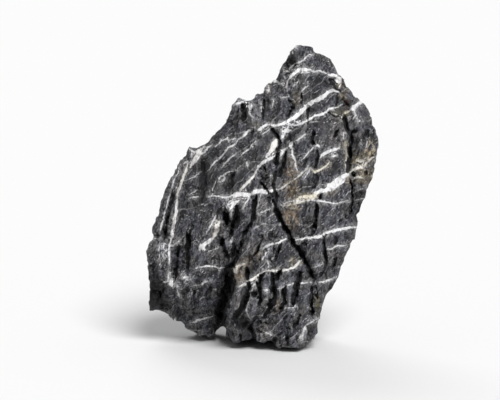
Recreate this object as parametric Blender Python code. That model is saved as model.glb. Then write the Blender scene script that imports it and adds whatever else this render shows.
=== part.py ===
"""A seiryu stone: one upright aquascape stone of dark limestone, split by steep cracks and flutes.

The stone's height is the driving dimension. Everything else is in units of a drawing on which the stone
is DRAWN_HEIGHT tall. The drawing shows the front as it is seen from a little above level: X runs to the
right and V runs up, from the floor at half depth. Depths in front of that middle are positive towards
the viewer. The back, the sides and the underside follow the same steep bedding.
"""

import itertools
import math

import bmesh
import bpy
import numpy as np
from mathutils import Vector, geometry, kdtree

STONE_HEIGHT = 0.250
DRAWN_HEIGHT = 303
UNIT = STONE_HEIGHT / DRAWN_HEIGHT

STONE_NAME = "seiryu_stone"
TRIANGLES = 9800
LOOK_DOWN = math.radians(8)
FRONT_SIGHT = np.array([0, math.cos(LOOK_DOWN), -math.sin(LOOK_DOWN)])
BACK_SIGHT = np.array([0, -1, 0])

# The outline, clockwise from the peak.
OUTLINE = [
    # peak and right shoulder
    (33, 299), (43, 299), (53, 297), (53, 291), (65, 290), (69, 284), (75, 274), (79, 268), (84, 263),
    (82, 256), (87, 256), (94, 246), (103, 240), (107, 233), (111, 219), (115, 213), (118, 205),
    # right lobe, down to its step
    (118, 195), (116, 186), (114, 172), (111, 162), (105, 153), (106, 146), (101, 139), (100, 132),
    (95, 129), (97, 116), (93, 104), (88, 92), (80, 76), (78, 67), (74, 58), (65, 47), (61, 33),
    # right foot
    (58, 27), (59, 23), (57, 11), (50, 3), (41, -7), (30, -7), (18, -8), (12, 0), (8, 3),
    # middle toes
    (3, -1), (-4, 1), (-5, 6), (-9, 3), (-17, 2), (-25, -1), (-34, 6), (-33, 14), (-37, 17),
    # left toe, and the hem that hangs clear of the floor
    (-43, 14), (-48, 5), (-54, 7), (-60, 5), (-64, 11), (-74, 14), (-76, 21), (-87, 23), (-94, 30),
    (-110, 33),
    # left edge
    (-111, 68), (-113, 92), (-109, 102), (-107, 104), (-108, 110), (-104, 124), (-101, 137),
    (-92, 157), (-91, 163), (-84, 171), (-80, 183), (-76, 186), (-74, 192), (-70, 196), (-63, 194),
    # left slope, up over the horn to the peak
    (-52, 202), (-43, 211), (-33, 223), (-30, 231), (-28, 238), (-24, 242), (-21, 246), (-8, 241),
    (-5, 247), (-1, 249), (3, 245), (4, 255), (7, 260), (9, 256), (13, 263), (18, 264), (19, 273),
    (26, 283), (30, 292),
]

# Points of the front: X, V, depth in front of the middle, and how rough the face is there from 0 to 1.
FRONT = [
    # peak and the slab below it
    (43, 292, 20, 0.9), (68, 272, 22, 0.9), (20, 266, 20, 1.0), (47, 266, 31, 0.8), (84, 256, 20, 0.9),
    (70, 240, 37, 0.3), (35, 235, 37, 0.4), (8, 252, 22, 1.0), (10, 226, 34, 0.9),
    # blocks on the left slope
    (-22, 240, 24, 0.6), (-15, 222, 31, 0.9), (-34, 218, 24, 0.5), (-30, 195, 38, 0.4),
    (0, 195, 44, 0.4), (-58, 190, 26, 0.6), (-78, 176, 28, 0.8),
    # right slab, and the lobe set back behind the cleft
    (60, 190, 47, 0.2), (78, 193, 44, 0.2), (38, 190, 48, 0.5), (100, 235, 22, 0.6),
    (97, 200, 32, 0.6), (113, 200, 20, 0.7), (98, 168, 30, 1.0), (99, 143, 24, 0.8),
    # waist
    (-98, 145, 30, 0.7), (-85, 140, 34, 0.7), (-60, 145, 40, 0.5), (-30, 150, 47, 0.6),
    (10, 145, 52, 0.8), (40, 150, 54, 0.7), (75, 150, 47, 0.5), (96, 115, 26, 0.8),
    (75, 115, 44, 0.7), (45, 115, 56, 0.7), (15, 115, 58, 0.9), (-10, 112, 60, 1.0),
    (-34, 120, 46, 1.0), (-52, 105, 51, 0.8), (-75, 100, 41, 0.9), (-97, 95, 34, 0.9),
    (-112, 90, 32, 0.8),
    # ribs of the lower half
    (-20, 78, 62, 1.0), (-4, 75, 58, 1.0), (25, 80, 61, 0.7), (55, 80, 58, 0.8), (77, 80, 36, 0.8),
    (-40, 100, 44, 0.8), (-40, 75, 40, 0.8), (-60, 75, 49, 1.0), (-85, 70, 36, 1.0),
    (-110, 62, 24, 0.9), (-21, 45, 60, 0.9), (-28, 20, 51, 0.9), (-27, 3, 42, 0.9),
    (5, 45, 56, 1.0), (5, 8, 47, 1.0), (30, 40, 63, 0.9),
    (30, 2, 56, 1.0), (52, 40, 56, 0.9), (52, 8, 44, 1.0), (62, 42, 34, 0.8),
    # undercut of the left hem
    (-42, 45, 28, 0.8), (-40, 20, 6, 0.7), (-60, 45, 38, 1.0), (-58, 22, 18, 1.0), (-55, 6, -6, 0.8),
    (-75, 24, 12, 1.0), (-88, 44, 20, 1.0), (-108, 38, 2, 0.8),
]

# Points of the back: X, V, depth behind the middle, and roughness.
BACK = [
    (43, 292, 18, 0.7), (68, 270, 22, 0.8), (20, 264, 20, 0.8), (48, 252, 36, 0.6), (84, 255, 24, 0.8),
    (-20, 240, 22, 0.9), (8, 222, 42, 0.9), (62, 222, 46, 0.5), (100, 235, 28, 0.7),
    (114, 200, 30, 0.8), (92, 190, 48, 0.7), (55, 182, 57, 0.4), (10, 188, 50, 1.0),
    (-38, 196, 36, 0.7), (-75, 182, 26, 0.8), (-92, 152, 30, 0.8), (-62, 150, 48, 0.7),
    (-12, 140, 60, 0.6), (45, 140, 57, 0.9), (86, 138, 46, 0.9), (97, 116, 34, 0.8),
    (72, 98, 46, 0.8), (30, 90, 63, 0.9), (-28, 92, 64, 0.6), (-74, 96, 46, 1.0),
    (-112, 90, 34, 0.8), (-106, 58, 32, 0.9), (-72, 50, 54, 0.8), (-20, 42, 57, 1.0),
    (30, 40, 62, 0.9), (62, 48, 40, 0.8), (46, 8, 46, 0.9), (10, 4, 50, 1.0), (-25, 4, 54, 1.0),
    (-55, 6, 60, 1.0), (-76, 24, 46, 0.9), (-106, 38, 30, 0.9),
]

# How the front and back fall away towards the outline.
EDGE_WIDTH = 26
EDGE_DROP = 17
HEM_DROP = 6
HEM_TOP = (15, 60)
PEAK_DROP = 9
PEAK_FOOT = (235, 290)

# Cracks and flutes of the front: width, depth, and the route on the drawing from top to bottom.
FRONT_GROOVES = {
    "long_crack": (7, 24, [(10, 221), (14, 213), (17.5, 203), (18, 190), (16, 175), (14.5, 160),
                           (15, 150), (17, 136), (21, 122), (26, 113), (36, 98), (45, 83), (51, 71),
                           (56, 63)]),
    "crack_branch": (5, 14, [(-1, 174), (4, 163), (7, 152), (12, 143), (16, 133)]),
    "crack_side": (4, 11, [(26, 193), (25, 185), (22, 175), (20, 165)]),
    "cleft": (8, 26, [(73, 262), (77, 253), (78, 240), (84, 232), (86, 222), (86, 212), (90, 204),
                      (88, 192), (89, 175), (90, 161), (92, 150), (90, 136), (88, 125), (90, 118)]),
    "cleft_arm": (6, 14, [(88, 207), (93, 211), (97, 213)]),
    "slab_slot": (4, 10, [(49, 236), (47, 222), (47, 213)]),
    "slab_slot_low": (5, 13, [(53, 214), (51, 198), (56, 192), (57, 184), (55, 170), (54, 160),
                              (54, 152)]),
    "slab_nick": (5, 8, [(80, 214), (75, 208), (70, 203)]),
    "waist_slot": (8, 14, [(58, 138), (56, 127), (55, 118), (57, 110)]),
    "horn_slot": (5, 14, [(4, 246), (5, 238), (4, 229)]),
    "block_slot": (8, 12, [(-13, 240), (-14, 231), (-18, 222)]),
    "peak_seam": (4, 6, [(29, 283), (26, 276), (24, 266), (29, 252), (31, 238), (27, 222)]),
    "left_step": (9, 7, [(-60, 181), (-57, 165), (-56, 152), (-58, 142)]),
    "left_hollow": (12, 6, [(-27, 170), (-30, 158), (-32, 151)]),
    "edge_slot_high": (8, 10, [(-87, 151), (-90, 141), (-93, 130)]),
    "edge_slot_low": (9, 11, [(-89, 124), (-92, 113), (-95, 104)]),
    "left_flute": (9, 14, [(-66, 121), (-71, 108), (-74, 94), (-72, 82), (-71, 70)]),
    "left_flute_low": (8, 12, [(-82, 98), (-83, 86), (-83, 74), (-84, 62)]),
    "shadow_hole": (10, 18, [(-34, 132), (-32, 124), (-34, 116)]),
    "valley_top": (12, 20, [(-21, 138), (-24, 126), (-28, 112), (-31, 98)]),
    "valley": (20, 30, [(-18, 108), (-22, 98), (-28, 88), (-31, 72), (-32, 54), (-35, 38), (-39, 20)]),
    "flute_a": (9, 17, [(-4, 146), (-4, 136), (-7, 124), (-12, 115), (-16, 109)]),
    "flute_b": (8, 14, [(6, 121), (3, 109), (-1, 98), (-6, 88)]),
    "flute_c": (7, 11, [(19, 117), (16, 107)]),
    "flute_d": (8, 14, [(21, 100), (18, 92), (14, 82), (12, 78)]),
    "rib_flute": (9, 16, [(-11, 60), (-12, 46), (-17, 35), (-23, 26)]),
    "leaf_flute": (8, 15, [(0, 68), (-3, 58), (-2, 42)]),
    "foot_flute_a": (10, 19, [(11, 65), (14, 52), (13, 41), (9, 31), (0, 26), (-8, 22), (-12, 12)]),
    "foot_flute_b": (8, 14, [(22, 73), (18, 66)]),
    "foot_flute_c": (8, 14, [(25, 55), (24, 44), (20, 30)]),
    "foot_flute_d": (8, 15, [(41, 73), (37, 62), (35, 50), (32, 39)]),
    "foot_flute_e": (8, 12, [(39, 36), (37, 26), (36, 18)]),
    "foot_flute_f": (8, 13, [(52, 56), (50, 44), (51, 30)]),
    "right_flute_a": (8, 12, [(66, 85), (65, 74), (60, 67)]),
    "right_flute_b": (9, 12, [(77, 87), (76, 80), (71, 73)]),
}

# Cracks and flutes of the back, each with X still to the right of the drawing.
BACK_GROOVES = {
    "spine_crack": (8, 22, [(38, 262), (33, 236), (35, 205), (26, 178), (22, 150), (8, 118), (4, 92)]),
    "spine_branch": (6, 14, [(60, 200), (48, 184), (28, 170)]),
    "far_cleft": (9, 18, [(92, 226), (88, 200), (90, 172), (80, 148), (78, 124)]),
    "slope_crack": (8, 16, [(-28, 214), (-38, 190), (-40, 164), (-50, 138)]),
    "back_valley": (16, 22, [(-30, 112), (-40, 88), (-42, 60), (-52, 34), (-54, 16)]),
    "flute_k": (9, 14, [(-66, 122), (-74, 98), (-78, 72)]),
    "flute_l": (9, 14, [(-4, 72), (-8, 48), (-16, 22)]),
    "flute_m": (8, 13, [(20, 62), (16, 40), (12, 14)]),
    "flute_n": (9, 13, [(46, 84), (40, 58), (36, 30)]),
    "flute_o": (7, 12, [(-88, 132), (-94, 108), (-96, 84)]),
    "slot_p": (6, 12, [(58, 158), (54, 132), (50, 116)]),
    "slot_q": (6, 10, [(-8, 208), (-12, 188), (-12, 170)]),
}

# Ribs that stand out of the front: width, height, route.
FRONT_RIBS = {
    "long_rib": (18, 9, [(-2, 140), (-8, 116), (-19, 76), (-19, 54), (-26, 32), (-31, 12)]),
    "leaf_rib": (10, 6, [(-6, 60), (-8, 46), (-7, 30)]),
    "slab_lip": (12, 4, [(82, 225), (82, 190), (84, 160)]),
    "block_rib": (10, 6, [(-9, 238), (-8, 226), (-10, 218)]),
    "foot_rib": (12, 5, [(22, 50), (30, 30), (30, 8)]),
    "left_rib": (14, 6, [(-48, 122), (-54, 98), (-60, 70)]),
    "edge_rib": (8, 4, [(-80, 165), (-88, 130), (-92, 100)]),
}

# Ribs of the back.
BACK_RIBS = {
    "spine": (16, 7, [(44, 250), (44, 206), (36, 176), (30, 146), (18, 112), (14, 84)]),
    "back_rib": (14, 7, [(-20, 112), (-30, 84), (-32, 54), (-40, 20)]),
    "side_rib": (12, 5, [(-58, 150), (-62, 120), (-66, 84)]),
}

# Places where the stone stands on the floor, seen from above: X, distance behind the middle, and how
# far the underside bulges down there. The floor then cuts each one flat.
FEET = [(30, -40, 2), (-14, 4, 2), (-58, 44, 7), (36, 36, 0)]
FOOT_BULGE_RADIUS = (7, 20)
FOOT_BULGE_TOP = (10, 30)
FOOT_RADIUS = (12, 30)
FOOT_SINK = 1.5
HOLLOW_HEIGHT = 7
HOLLOW_UNEVEN = 0.4
HOLLOW_UNEVEN_SIZE = 18

# The bedding leans to the right going up, and its sheets are turned a little about the vertical.
# Sizes below are across the beds, through the stone and up along the beds.
BED_LEAN = math.radians(17)
BED_TURN = math.radians(14)
SLAB_SIZE = (21, 40, 58)
SLAB_STEP = 4.2
SLAB_TILT = 0.2
SLAB_ON_SMOOTH = 0.35
FLUTE_PITCH = 14
FLUTE_DEPTH = 11
FLUTE_SHARPNESS = 2.5
FLUTE_SKEW = 0.25
FLUTE_DRIFT = 9
FLUTE_DRIFT_SIZE = (30, 30, 75)
FLUTE_FADE_SIZE = (24, 24, 48)
SCALLOP_SIZE = (14, 24, 30)
SCALLOP_DEPTH = 6.0
SCALLOP_MEAN = 0.55
ROUGH_POWER = 1.5

# How far edges and routes wander off a straight line, and over what distance.
WANDER = 1.6
WANDER_SIZE = 9
BED_WANDER = 3.2
BED_WANDER_SIZE = 14

# How squarely a surface has to face the viewer to be carved: not at all, and fully.
FACING = (-0.05, 0.35)

# A groove narrows and rises towards its ends, and has a narrow floor.
END_SHARE = 0.15
END_DEPTH = 0.35
END_WIDTH = 0.74
FLOOR_SHARE = 0.1

# Relief is kept low where the surface turns away into the outline, so that the outline stays as drawn.
RIM_TURN = (0.35, 0.85)
RIM_RELIEF = 0.5
RIM_TRIM = 0.8

START_VOXEL = 2.4
CARVE_VOXEL = 1.7
LAST_VOXEL = 1.5


def clear_scene():
    for obj in list(bpy.data.objects):
        bpy.data.objects.remove(obj)


def read_points(mesh):
    """The mesh's vertices, in drawing units."""
    flat = np.empty(len(mesh.vertices) * 3, np.float32)
    mesh.vertices.foreach_get("co", flat)
    return flat.reshape(-1, 3).astype(float) / UNIT


def read_normals(mesh):
    flat = np.empty(len(mesh.vertices) * 3, np.float32)
    mesh.vertices.foreach_get("normal", flat)
    return flat.reshape(-1, 3).astype(float)


def write_points(mesh, points):
    mesh.vertices.foreach_set("co", (points * UNIT).astype(np.float32).ravel())
    mesh.update()


def apply_modifier(stone, kind, **settings):
    modifier = stone.modifiers.new(kind.title(), kind)
    for name, value in settings.items():
        setattr(modifier, name, value)
    bpy.context.view_layer.objects.active = stone
    bpy.ops.object.modifier_apply(modifier=modifier.name)


def remesh(stone, voxel):
    apply_modifier(stone, "REMESH", mode="VOXEL", voxel_size=voxel * UNIT, adaptivity=0)


def smoothstep(low, high, value):
    share = np.clip((value - low) / (high - low), 0, 1)
    return share * share * (3 - 2 * share)


def noise(points, size, seed):
    """Value noise from -1 to 1 that changes over about size units, which can differ by axis."""
    lattice = points / np.array(size)
    cell = np.floor(lattice).astype(int)
    blend = smoothstep(0, 1, lattice - cell)
    table = np.random.default_rng(seed).uniform(-1, 1, (64, 64, 64))
    total = np.zeros(len(points))
    for corner in itertools.product((0, 1), repeat=3):
        weight = np.prod(np.where(corner, blend, 1 - blend), axis=1)
        total += weight * table[tuple(((cell + corner) % 64).T)]
    return total


def on_drawing(points):
    """X and V of points in space: the front as it is seen from LOOK_DOWN above level."""
    up = points[:, 2] * math.cos(LOOK_DOWN) + points[:, 1] * math.sin(LOOK_DOWN)
    return np.column_stack([points[:, 0], up])


def from_behind(points):
    """X and height of points in space, for the back."""
    return points[:, [0, 2]]


def off_drawing(x, v, y):
    """The point in space at depth y that is seen at X and V."""
    return np.column_stack([x, y, (v - y * math.sin(LOOK_DOWN)) / math.cos(LOOK_DOWN)])


def distance_to(route, drawn):
    """How far each drawn point is from the route, and its share of the way along the route."""
    ends = np.array(route, float)
    lengths = np.linalg.norm(np.diff(ends, axis=0), axis=1)
    nearest = np.full(len(drawn), np.inf)
    share = np.zeros(len(drawn))
    for index, (start, end) in enumerate(zip(ends[:-1], ends[1:])):
        leg = end - start
        along = np.clip((drawn - start) @ leg / (leg @ leg), 0, 1)
        away = np.linalg.norm(drawn - start - along[:, None] * leg, axis=1)
        closer = away < nearest
        nearest[closer] = away[closer]
        share[closer] = (lengths[:index].sum() + along[closer] * lengths[index]) / lengths.sum()
    return nearest, share


def facet_values(controls, drawn):
    """Depth and roughness at drawn points, flat over each triangle between the control points."""
    far = 2 * DRAWN_HEIGHT
    corners = [(x * far, z * far) for x in (-1, 1) for z in (-1, 1)]
    rows = np.array([c[:2] for c in controls], float)
    values = np.array([c[2:] for c in controls], float)
    for corner in corners:
        nearest = np.argmin(np.linalg.norm(rows - corner, axis=1))
        rows = np.vstack([rows, corner])
        values = np.vstack([values, values[nearest]])
    faces = geometry.delaunay_2d_cdt([Vector(r) for r in rows], [], [], 0, 1e-6)[2]
    found = np.zeros((len(drawn), values.shape[1]))
    for a, b, c in faces:
        base = np.column_stack([rows[b] - rows[a], rows[c] - rows[a]])
        share = (drawn - rows[a]) @ np.linalg.inv(base).T
        weights = np.column_stack([1 - share.sum(axis=1), share])
        inside = (weights >= -1e-9).all(axis=1)
        found[inside] = weights[inside] @ values[[a, b, c]]
    return found


def outline_slab():
    """The outline as a flat slab one unit thick each way, filled with an even mesh."""
    mesh = bpy.data.meshes.new(STONE_NAME)
    shape = bmesh.new()
    half = EDGE_WIDTH * UNIT
    ring = [shape.verts.new((x * UNIT, -half, v * UNIT)) for x, v in OUTLINE]
    face = shape.faces.new(ring)
    pushed = bmesh.ops.extrude_face_region(shape, geom=[face])
    moved = [item for item in pushed["geom"] if isinstance(item, bmesh.types.BMVert)]
    bmesh.ops.translate(shape, verts=moved, vec=(0, 2 * half, 0))
    bmesh.ops.recalc_face_normals(shape, faces=shape.faces)
    shape.to_mesh(mesh)
    shape.free()
    stone = bpy.data.objects.new(STONE_NAME, mesh)
    bpy.context.scene.collection.objects.link(stone)
    remesh(stone, START_VOXEL)
    return stone


def swell(stone):
    """Gives the slab its front and back, which round over towards the outline."""
    flat = read_points(stone.data)
    drawn = flat[:, [0, 2]]
    from_edge, _ = distance_to(OUTLINE + OUTLINE[:1], drawn)
    share = np.clip(from_edge / EDGE_WIDTH, 0, 1)
    drop = HEM_DROP + (EDGE_DROP - HEM_DROP) * smoothstep(*HEM_TOP, drawn[:, 1])
    drop += (PEAK_DROP - EDGE_DROP) * smoothstep(*PEAK_FOOT, drawn[:, 1])
    fall = drop * (1 - np.sqrt(1 - (1 - share) ** 2))
    front = -(facet_values(FRONT, drawn)[:, 0] - fall)
    back = facet_values(BACK, drawn)[:, 0] - fall
    through = np.clip((flat[:, 1] + EDGE_WIDTH) / (2 * EDGE_WIDTH), 0, 1)
    y = front + (back - front) * through
    write_points(stone.data, off_drawing(drawn[:, 0], drawn[:, 1], y))
    remesh(stone, CARVE_VOXEL)


def bedding_frame():
    """Rows: across the beds, through the stone, and up along the beds."""
    up = Vector((math.sin(BED_LEAN), 0, math.cos(BED_LEAN)))
    across = Vector((math.cos(BED_LEAN) * math.cos(BED_TURN), math.sin(BED_TURN),
                     -math.sin(BED_LEAN) * math.cos(BED_TURN))).normalized()
    through = up.cross(across).normalized()
    return np.array([across, through, through.cross(across) * -1])


def scattered(points, size, seed):
    """Seeds scattered evenly through the stone, one to each cell of that size, and a tree of them."""
    rng = np.random.default_rng(seed)
    low = np.floor(points.min(axis=0) / size) - 1
    high = np.ceil(points.max(axis=0) / size) + 1
    grid = np.stack(np.meshgrid(*[np.arange(a, b) for a, b in zip(low, high)], indexing="ij"), axis=-1)
    seeds = grid.reshape(-1, 3) + rng.uniform(0, 1, (grid.size // 3, 3))
    tree = kdtree.KDTree(len(seeds))
    for index, seed_point in enumerate(seeds):
        tree.insert(seed_point, index)
    tree.balance()
    return seeds, tree, rng


def broken_slabs(bedded):
    """Flat-broken slabs: each steps in or out and tips a little."""
    scaled = bedded / SLAB_SIZE
    seeds, tree, rng = scattered(scaled, 1.0, seed=11)
    step = rng.uniform(-SLAB_STEP, SLAB_STEP, len(seeds))
    tilt = rng.uniform(-SLAB_TILT, SLAB_TILT, (len(seeds), 3))
    nearest = np.array([tree.find(p)[1] for p in scaled])
    reach = (scaled - seeds[nearest]) * SLAB_SIZE
    return step[nearest] + (reach * tilt[nearest]).sum(axis=1)


def scallops(bedded):
    """Dissolved hollows that meet in sharp ridges, drawn out along the beds."""
    scaled = bedded / SCALLOP_SIZE
    _, tree, _ = scattered(scaled, 1.0, seed=23)
    nearest = np.array([tree.find(p)[2] for p in scaled])
    return SCALLOP_DEPTH * (nearest - SCALLOP_MEAN)


def flutes(bedded):
    """Rounded ribs with narrow slots between them, which run up along the beds and come and go."""
    drift = noise(bedded, FLUTE_DRIFT_SIZE, 41) * FLUTE_DRIFT
    place = (bedded[:, 0] + drift + bedded[:, 1] * FLUTE_SKEW) / FLUTE_PITCH
    from_rib = np.abs(2 * (place - np.floor(place)) - 1)
    strength = (1 + noise(bedded, FLUTE_FADE_SIZE, 42)) / 2
    return -FLUTE_DEPTH * strength * from_rib ** FLUTE_SHARPNESS


def weather(stone):
    """Breaks the whole surface up into slabs, flutes and scallops, less so where a face is smooth."""
    points = read_points(stone.data)
    normals = read_normals(stone.data)
    drawn = on_drawing(points)
    wander = np.column_stack([noise(points, BED_WANDER_SIZE, seed) for seed in (1, 2, 3)]) * BED_WANDER
    bedded = (points + wander) @ bedding_frame().T
    rough_front = facet_values(FRONT, drawn)[:, 1]
    rough_back = facet_values(BACK, drawn)[:, 1]
    facing_back = smoothstep(-0.3, 0.3, normals[:, 1])
    rough = rough_front + (rough_back - rough_front) * facing_back
    relief = broken_slabs(bedded) * (SLAB_ON_SMOOTH + (1 - SLAB_ON_SMOOTH) * rough)
    relief += (flutes(bedded) + scallops(bedded)) * rough ** ROUGH_POWER
    at_rim = 1 - np.abs(normals @ FRONT_SIGHT)
    relief -= (relief * (1 - RIM_RELIEF) + RIM_TRIM) * smoothstep(*RIM_TURN, at_rim)
    write_points(stone.data, points + normals * relief[:, None])


def carve(stone, sight, on_face, ribs, grooves):
    """Raises ribs and cuts cracks into the side that the viewer sees who looks along the sight."""
    points = read_points(stone.data)
    facing = smoothstep(*FACING, read_normals(stone.data) @ -sight)
    wander = np.column_stack([noise(points, WANDER_SIZE, seed) for seed in (5, 6)]) * WANDER
    drawn = on_face(points) + wander
    raised = np.zeros(len(points))
    for width, height, route in ribs.values():
        away, _ = distance_to(route, drawn)
        raised += height * (1 - smoothstep(0, width / 2, away))
    cut = np.zeros(len(points))
    for width, depth, route in grooves.values():
        away, along = distance_to(route, drawn)
        inner = smoothstep(0, END_SHARE, along) * smoothstep(0, END_SHARE, 1 - along)
        half = width / 2 * (END_WIDTH + (1 - END_WIDTH) * inner)
        floor = depth * (END_DEPTH + (1 - END_DEPTH) * inner)
        cut = np.maximum(cut, floor * (1 - smoothstep(FLOOR_SHARE, 1, away / half)))
    points += ((cut - raised) * facing)[:, None] * sight
    write_points(stone.data, points)
    remesh(stone, CARVE_VOXEL)


def shape_underside(stone):
    """Pulls the feet down, and lifts the underside off the floor between them."""
    points = read_points(stone.data)
    feet = np.array(FEET, float)
    from_feet = np.linalg.norm(points[:, None, :2] - feet[:, :2], axis=2)
    bulge = ((1 - smoothstep(*FOOT_BULGE_RADIUS, from_feet)) * feet[:, 2]).sum(axis=1)
    points[:, 2] -= bulge * (1 - smoothstep(*FOOT_BULGE_TOP, points[:, 2]))
    away = np.min(from_feet, axis=1)
    uneven = 1 + HOLLOW_UNEVEN * noise(points, HOLLOW_UNEVEN_SIZE, 31)
    floor = HOLLOW_HEIGHT * smoothstep(*FOOT_RADIUS, away) * uneven
    points[:, 2] = np.maximum(points[:, 2], floor - FOOT_SINK)
    write_points(stone.data, points)
    remesh(stone, LAST_VOXEL)


def lower_count(stone):
    """Joins small triangles where the surface is flat, until TRIANGLES are left."""
    shape = bmesh.new()
    shape.from_mesh(stone.data)
    bmesh.ops.triangulate(shape, faces=shape.faces)
    shape.to_mesh(stone.data)
    shape.free()
    share = TRIANGLES / len(stone.data.polygons)
    apply_modifier(stone, "DECIMATE", decimate_type="COLLAPSE", ratio=share)


def rest_on_floor(stone):
    """Cuts the feet flat at the floor, and centres the stone over the origin."""
    shape = bmesh.new()
    shape.from_mesh(stone.data)
    everything = shape.verts[:] + shape.edges[:] + shape.faces[:]
    cut = bmesh.ops.bisect_plane(shape, geom=everything, plane_co=(0, 0, 0), plane_no=(0, 0, -1),
                                 clear_outer=True)
    rims = [item for item in cut["geom_cut"] if isinstance(item, bmesh.types.BMEdge)]
    bmesh.ops.holes_fill(shape, edges=rims)
    bmesh.ops.triangulate(shape, faces=shape.faces)
    bmesh.ops.recalc_face_normals(shape, faces=shape.faces)
    shape.to_mesh(stone.data)
    shape.free()
    points = read_points(stone.data)
    centre = (points.min(axis=0) + points.max(axis=0)) / 2
    points[:, :2] -= centre[:2]
    write_points(stone.data, points)


def limestone():
    """Dark blue-grey limestone."""
    material = bpy.data.materials.new("limestone")
    material.use_nodes = True
    surface = material.node_tree.nodes["Principled BSDF"]
    surface.inputs["Base Color"].default_value = (0.075, 0.075, 0.08, 1)
    surface.inputs["Roughness"].default_value = 0.72
    surface.inputs["Metallic"].default_value = 0
    return material


def main():
    clear_scene()
    stone = outline_slab()
    swell(stone)
    weather(stone)
    carve(stone, FRONT_SIGHT, on_drawing, FRONT_RIBS, FRONT_GROOVES)
    carve(stone, BACK_SIGHT, from_behind, BACK_RIBS, BACK_GROOVES)
    shape_underside(stone)
    lower_count(stone)
    rest_on_floor(stone)
    stone.data.materials.append(limestone())


main()
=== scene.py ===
"""A seiryu stone on a pale floor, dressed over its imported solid."""

import math
import random

import bpy
import numpy as np
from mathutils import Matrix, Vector, noise


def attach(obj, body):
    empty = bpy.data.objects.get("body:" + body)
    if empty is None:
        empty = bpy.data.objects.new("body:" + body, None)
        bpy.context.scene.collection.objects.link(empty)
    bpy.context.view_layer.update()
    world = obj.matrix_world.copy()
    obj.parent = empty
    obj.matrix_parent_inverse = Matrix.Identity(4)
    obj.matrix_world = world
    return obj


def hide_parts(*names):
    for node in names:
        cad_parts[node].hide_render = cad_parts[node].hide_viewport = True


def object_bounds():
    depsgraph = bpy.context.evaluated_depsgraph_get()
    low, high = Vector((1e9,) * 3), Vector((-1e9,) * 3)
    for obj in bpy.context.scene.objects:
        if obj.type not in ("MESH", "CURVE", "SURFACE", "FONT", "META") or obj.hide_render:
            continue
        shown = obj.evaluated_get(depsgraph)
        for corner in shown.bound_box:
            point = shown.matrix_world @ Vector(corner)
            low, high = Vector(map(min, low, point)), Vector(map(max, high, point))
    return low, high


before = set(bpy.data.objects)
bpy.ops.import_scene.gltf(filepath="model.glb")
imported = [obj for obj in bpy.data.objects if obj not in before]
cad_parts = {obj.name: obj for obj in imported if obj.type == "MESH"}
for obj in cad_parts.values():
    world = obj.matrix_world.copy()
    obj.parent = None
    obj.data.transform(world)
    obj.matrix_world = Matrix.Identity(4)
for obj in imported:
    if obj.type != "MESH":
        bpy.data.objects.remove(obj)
solid_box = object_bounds()


# The viewpoint: a long lens a little above level, as for a catalogue picture. What is drawn on the
# stone's front is set out by where it shows in the picture, 500 units wide and 400 high from its top
# left. One such unit is UNIT metres at the middle of the stone.
UNIT = 0.000825
EYE_DISTANCE = 2.0
EYE_ANGLE = math.radians(8)
PICTURE_SIZE = (500, 400)
STONE_FOOT = (262.2, 343.3)
SIGHT = np.array([0, math.cos(EYE_ANGLE), -math.sin(EYE_ANGLE)])
PICTURE_UP = np.array([0, math.sin(EYE_ANGLE), math.cos(EYE_ANGLE)])
PICTURE_RIGHT = np.array([1.0, 0, 0])
picture_middle = np.array(PICTURE_SIZE) / 2
foot_right, foot_down = (np.array(STONE_FOOT) - picture_middle) * UNIT
eye = PICTURE_UP * foot_down - PICTURE_RIGHT * foot_right - SIGHT * EYE_DISTANCE

bpy.ops.object.camera_add(location=eye)
camera = bpy.context.object
camera.rotation_euler = Vector(SIGHT).to_track_quat("-Z", "Y").to_euler()
camera.data.sensor_width = 36
camera.data.lens = camera.data.sensor_width * EYE_DISTANCE / (PICTURE_SIZE[0] * UNIT)
camera.data.clip_end = 100
bpy.context.scene.camera = camera


def to_picture(points):
    """Where points in space show in the picture."""
    from_eye = points - eye
    scale = EYE_DISTANCE / (UNIT * (from_eye @ SIGHT))
    right = picture_middle[0] + from_eye @ PICTURE_RIGHT * scale
    down = picture_middle[1] - from_eye @ PICTURE_UP * scale
    return np.column_stack([right, down])


def from_picture(right, down, depth):
    """The point in space that shows at a place in the picture, so many units behind the stone's middle."""
    right_part = PICTURE_RIGHT * (right - picture_middle[0]) * UNIT / EYE_DISTANCE
    up_part = PICTURE_UP * (picture_middle[1] - down) * UNIT / EYE_DISTANCE
    ray = SIGHT + right_part + up_part
    return eye + ray * (depth * UNIT - eye[1]) / ray[1]


# The stone is one natural piece of dark limestone, broken from a steep bed. Water has dissolved flutes
# and slots down the beds, frost has broken chips off its slabs, and white calcite fills old cracks.
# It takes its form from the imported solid, as a finer mesh that holds the narrow cracks and the chips.
GRAIN = 0.8
FRONT_TRIANGLES = 150000
FAR_TRIANGLES = 47000
FRONT_DEPTH = 13
BED_LEAN = math.radians(17)
BED_TURN = math.radians(14)

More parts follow.
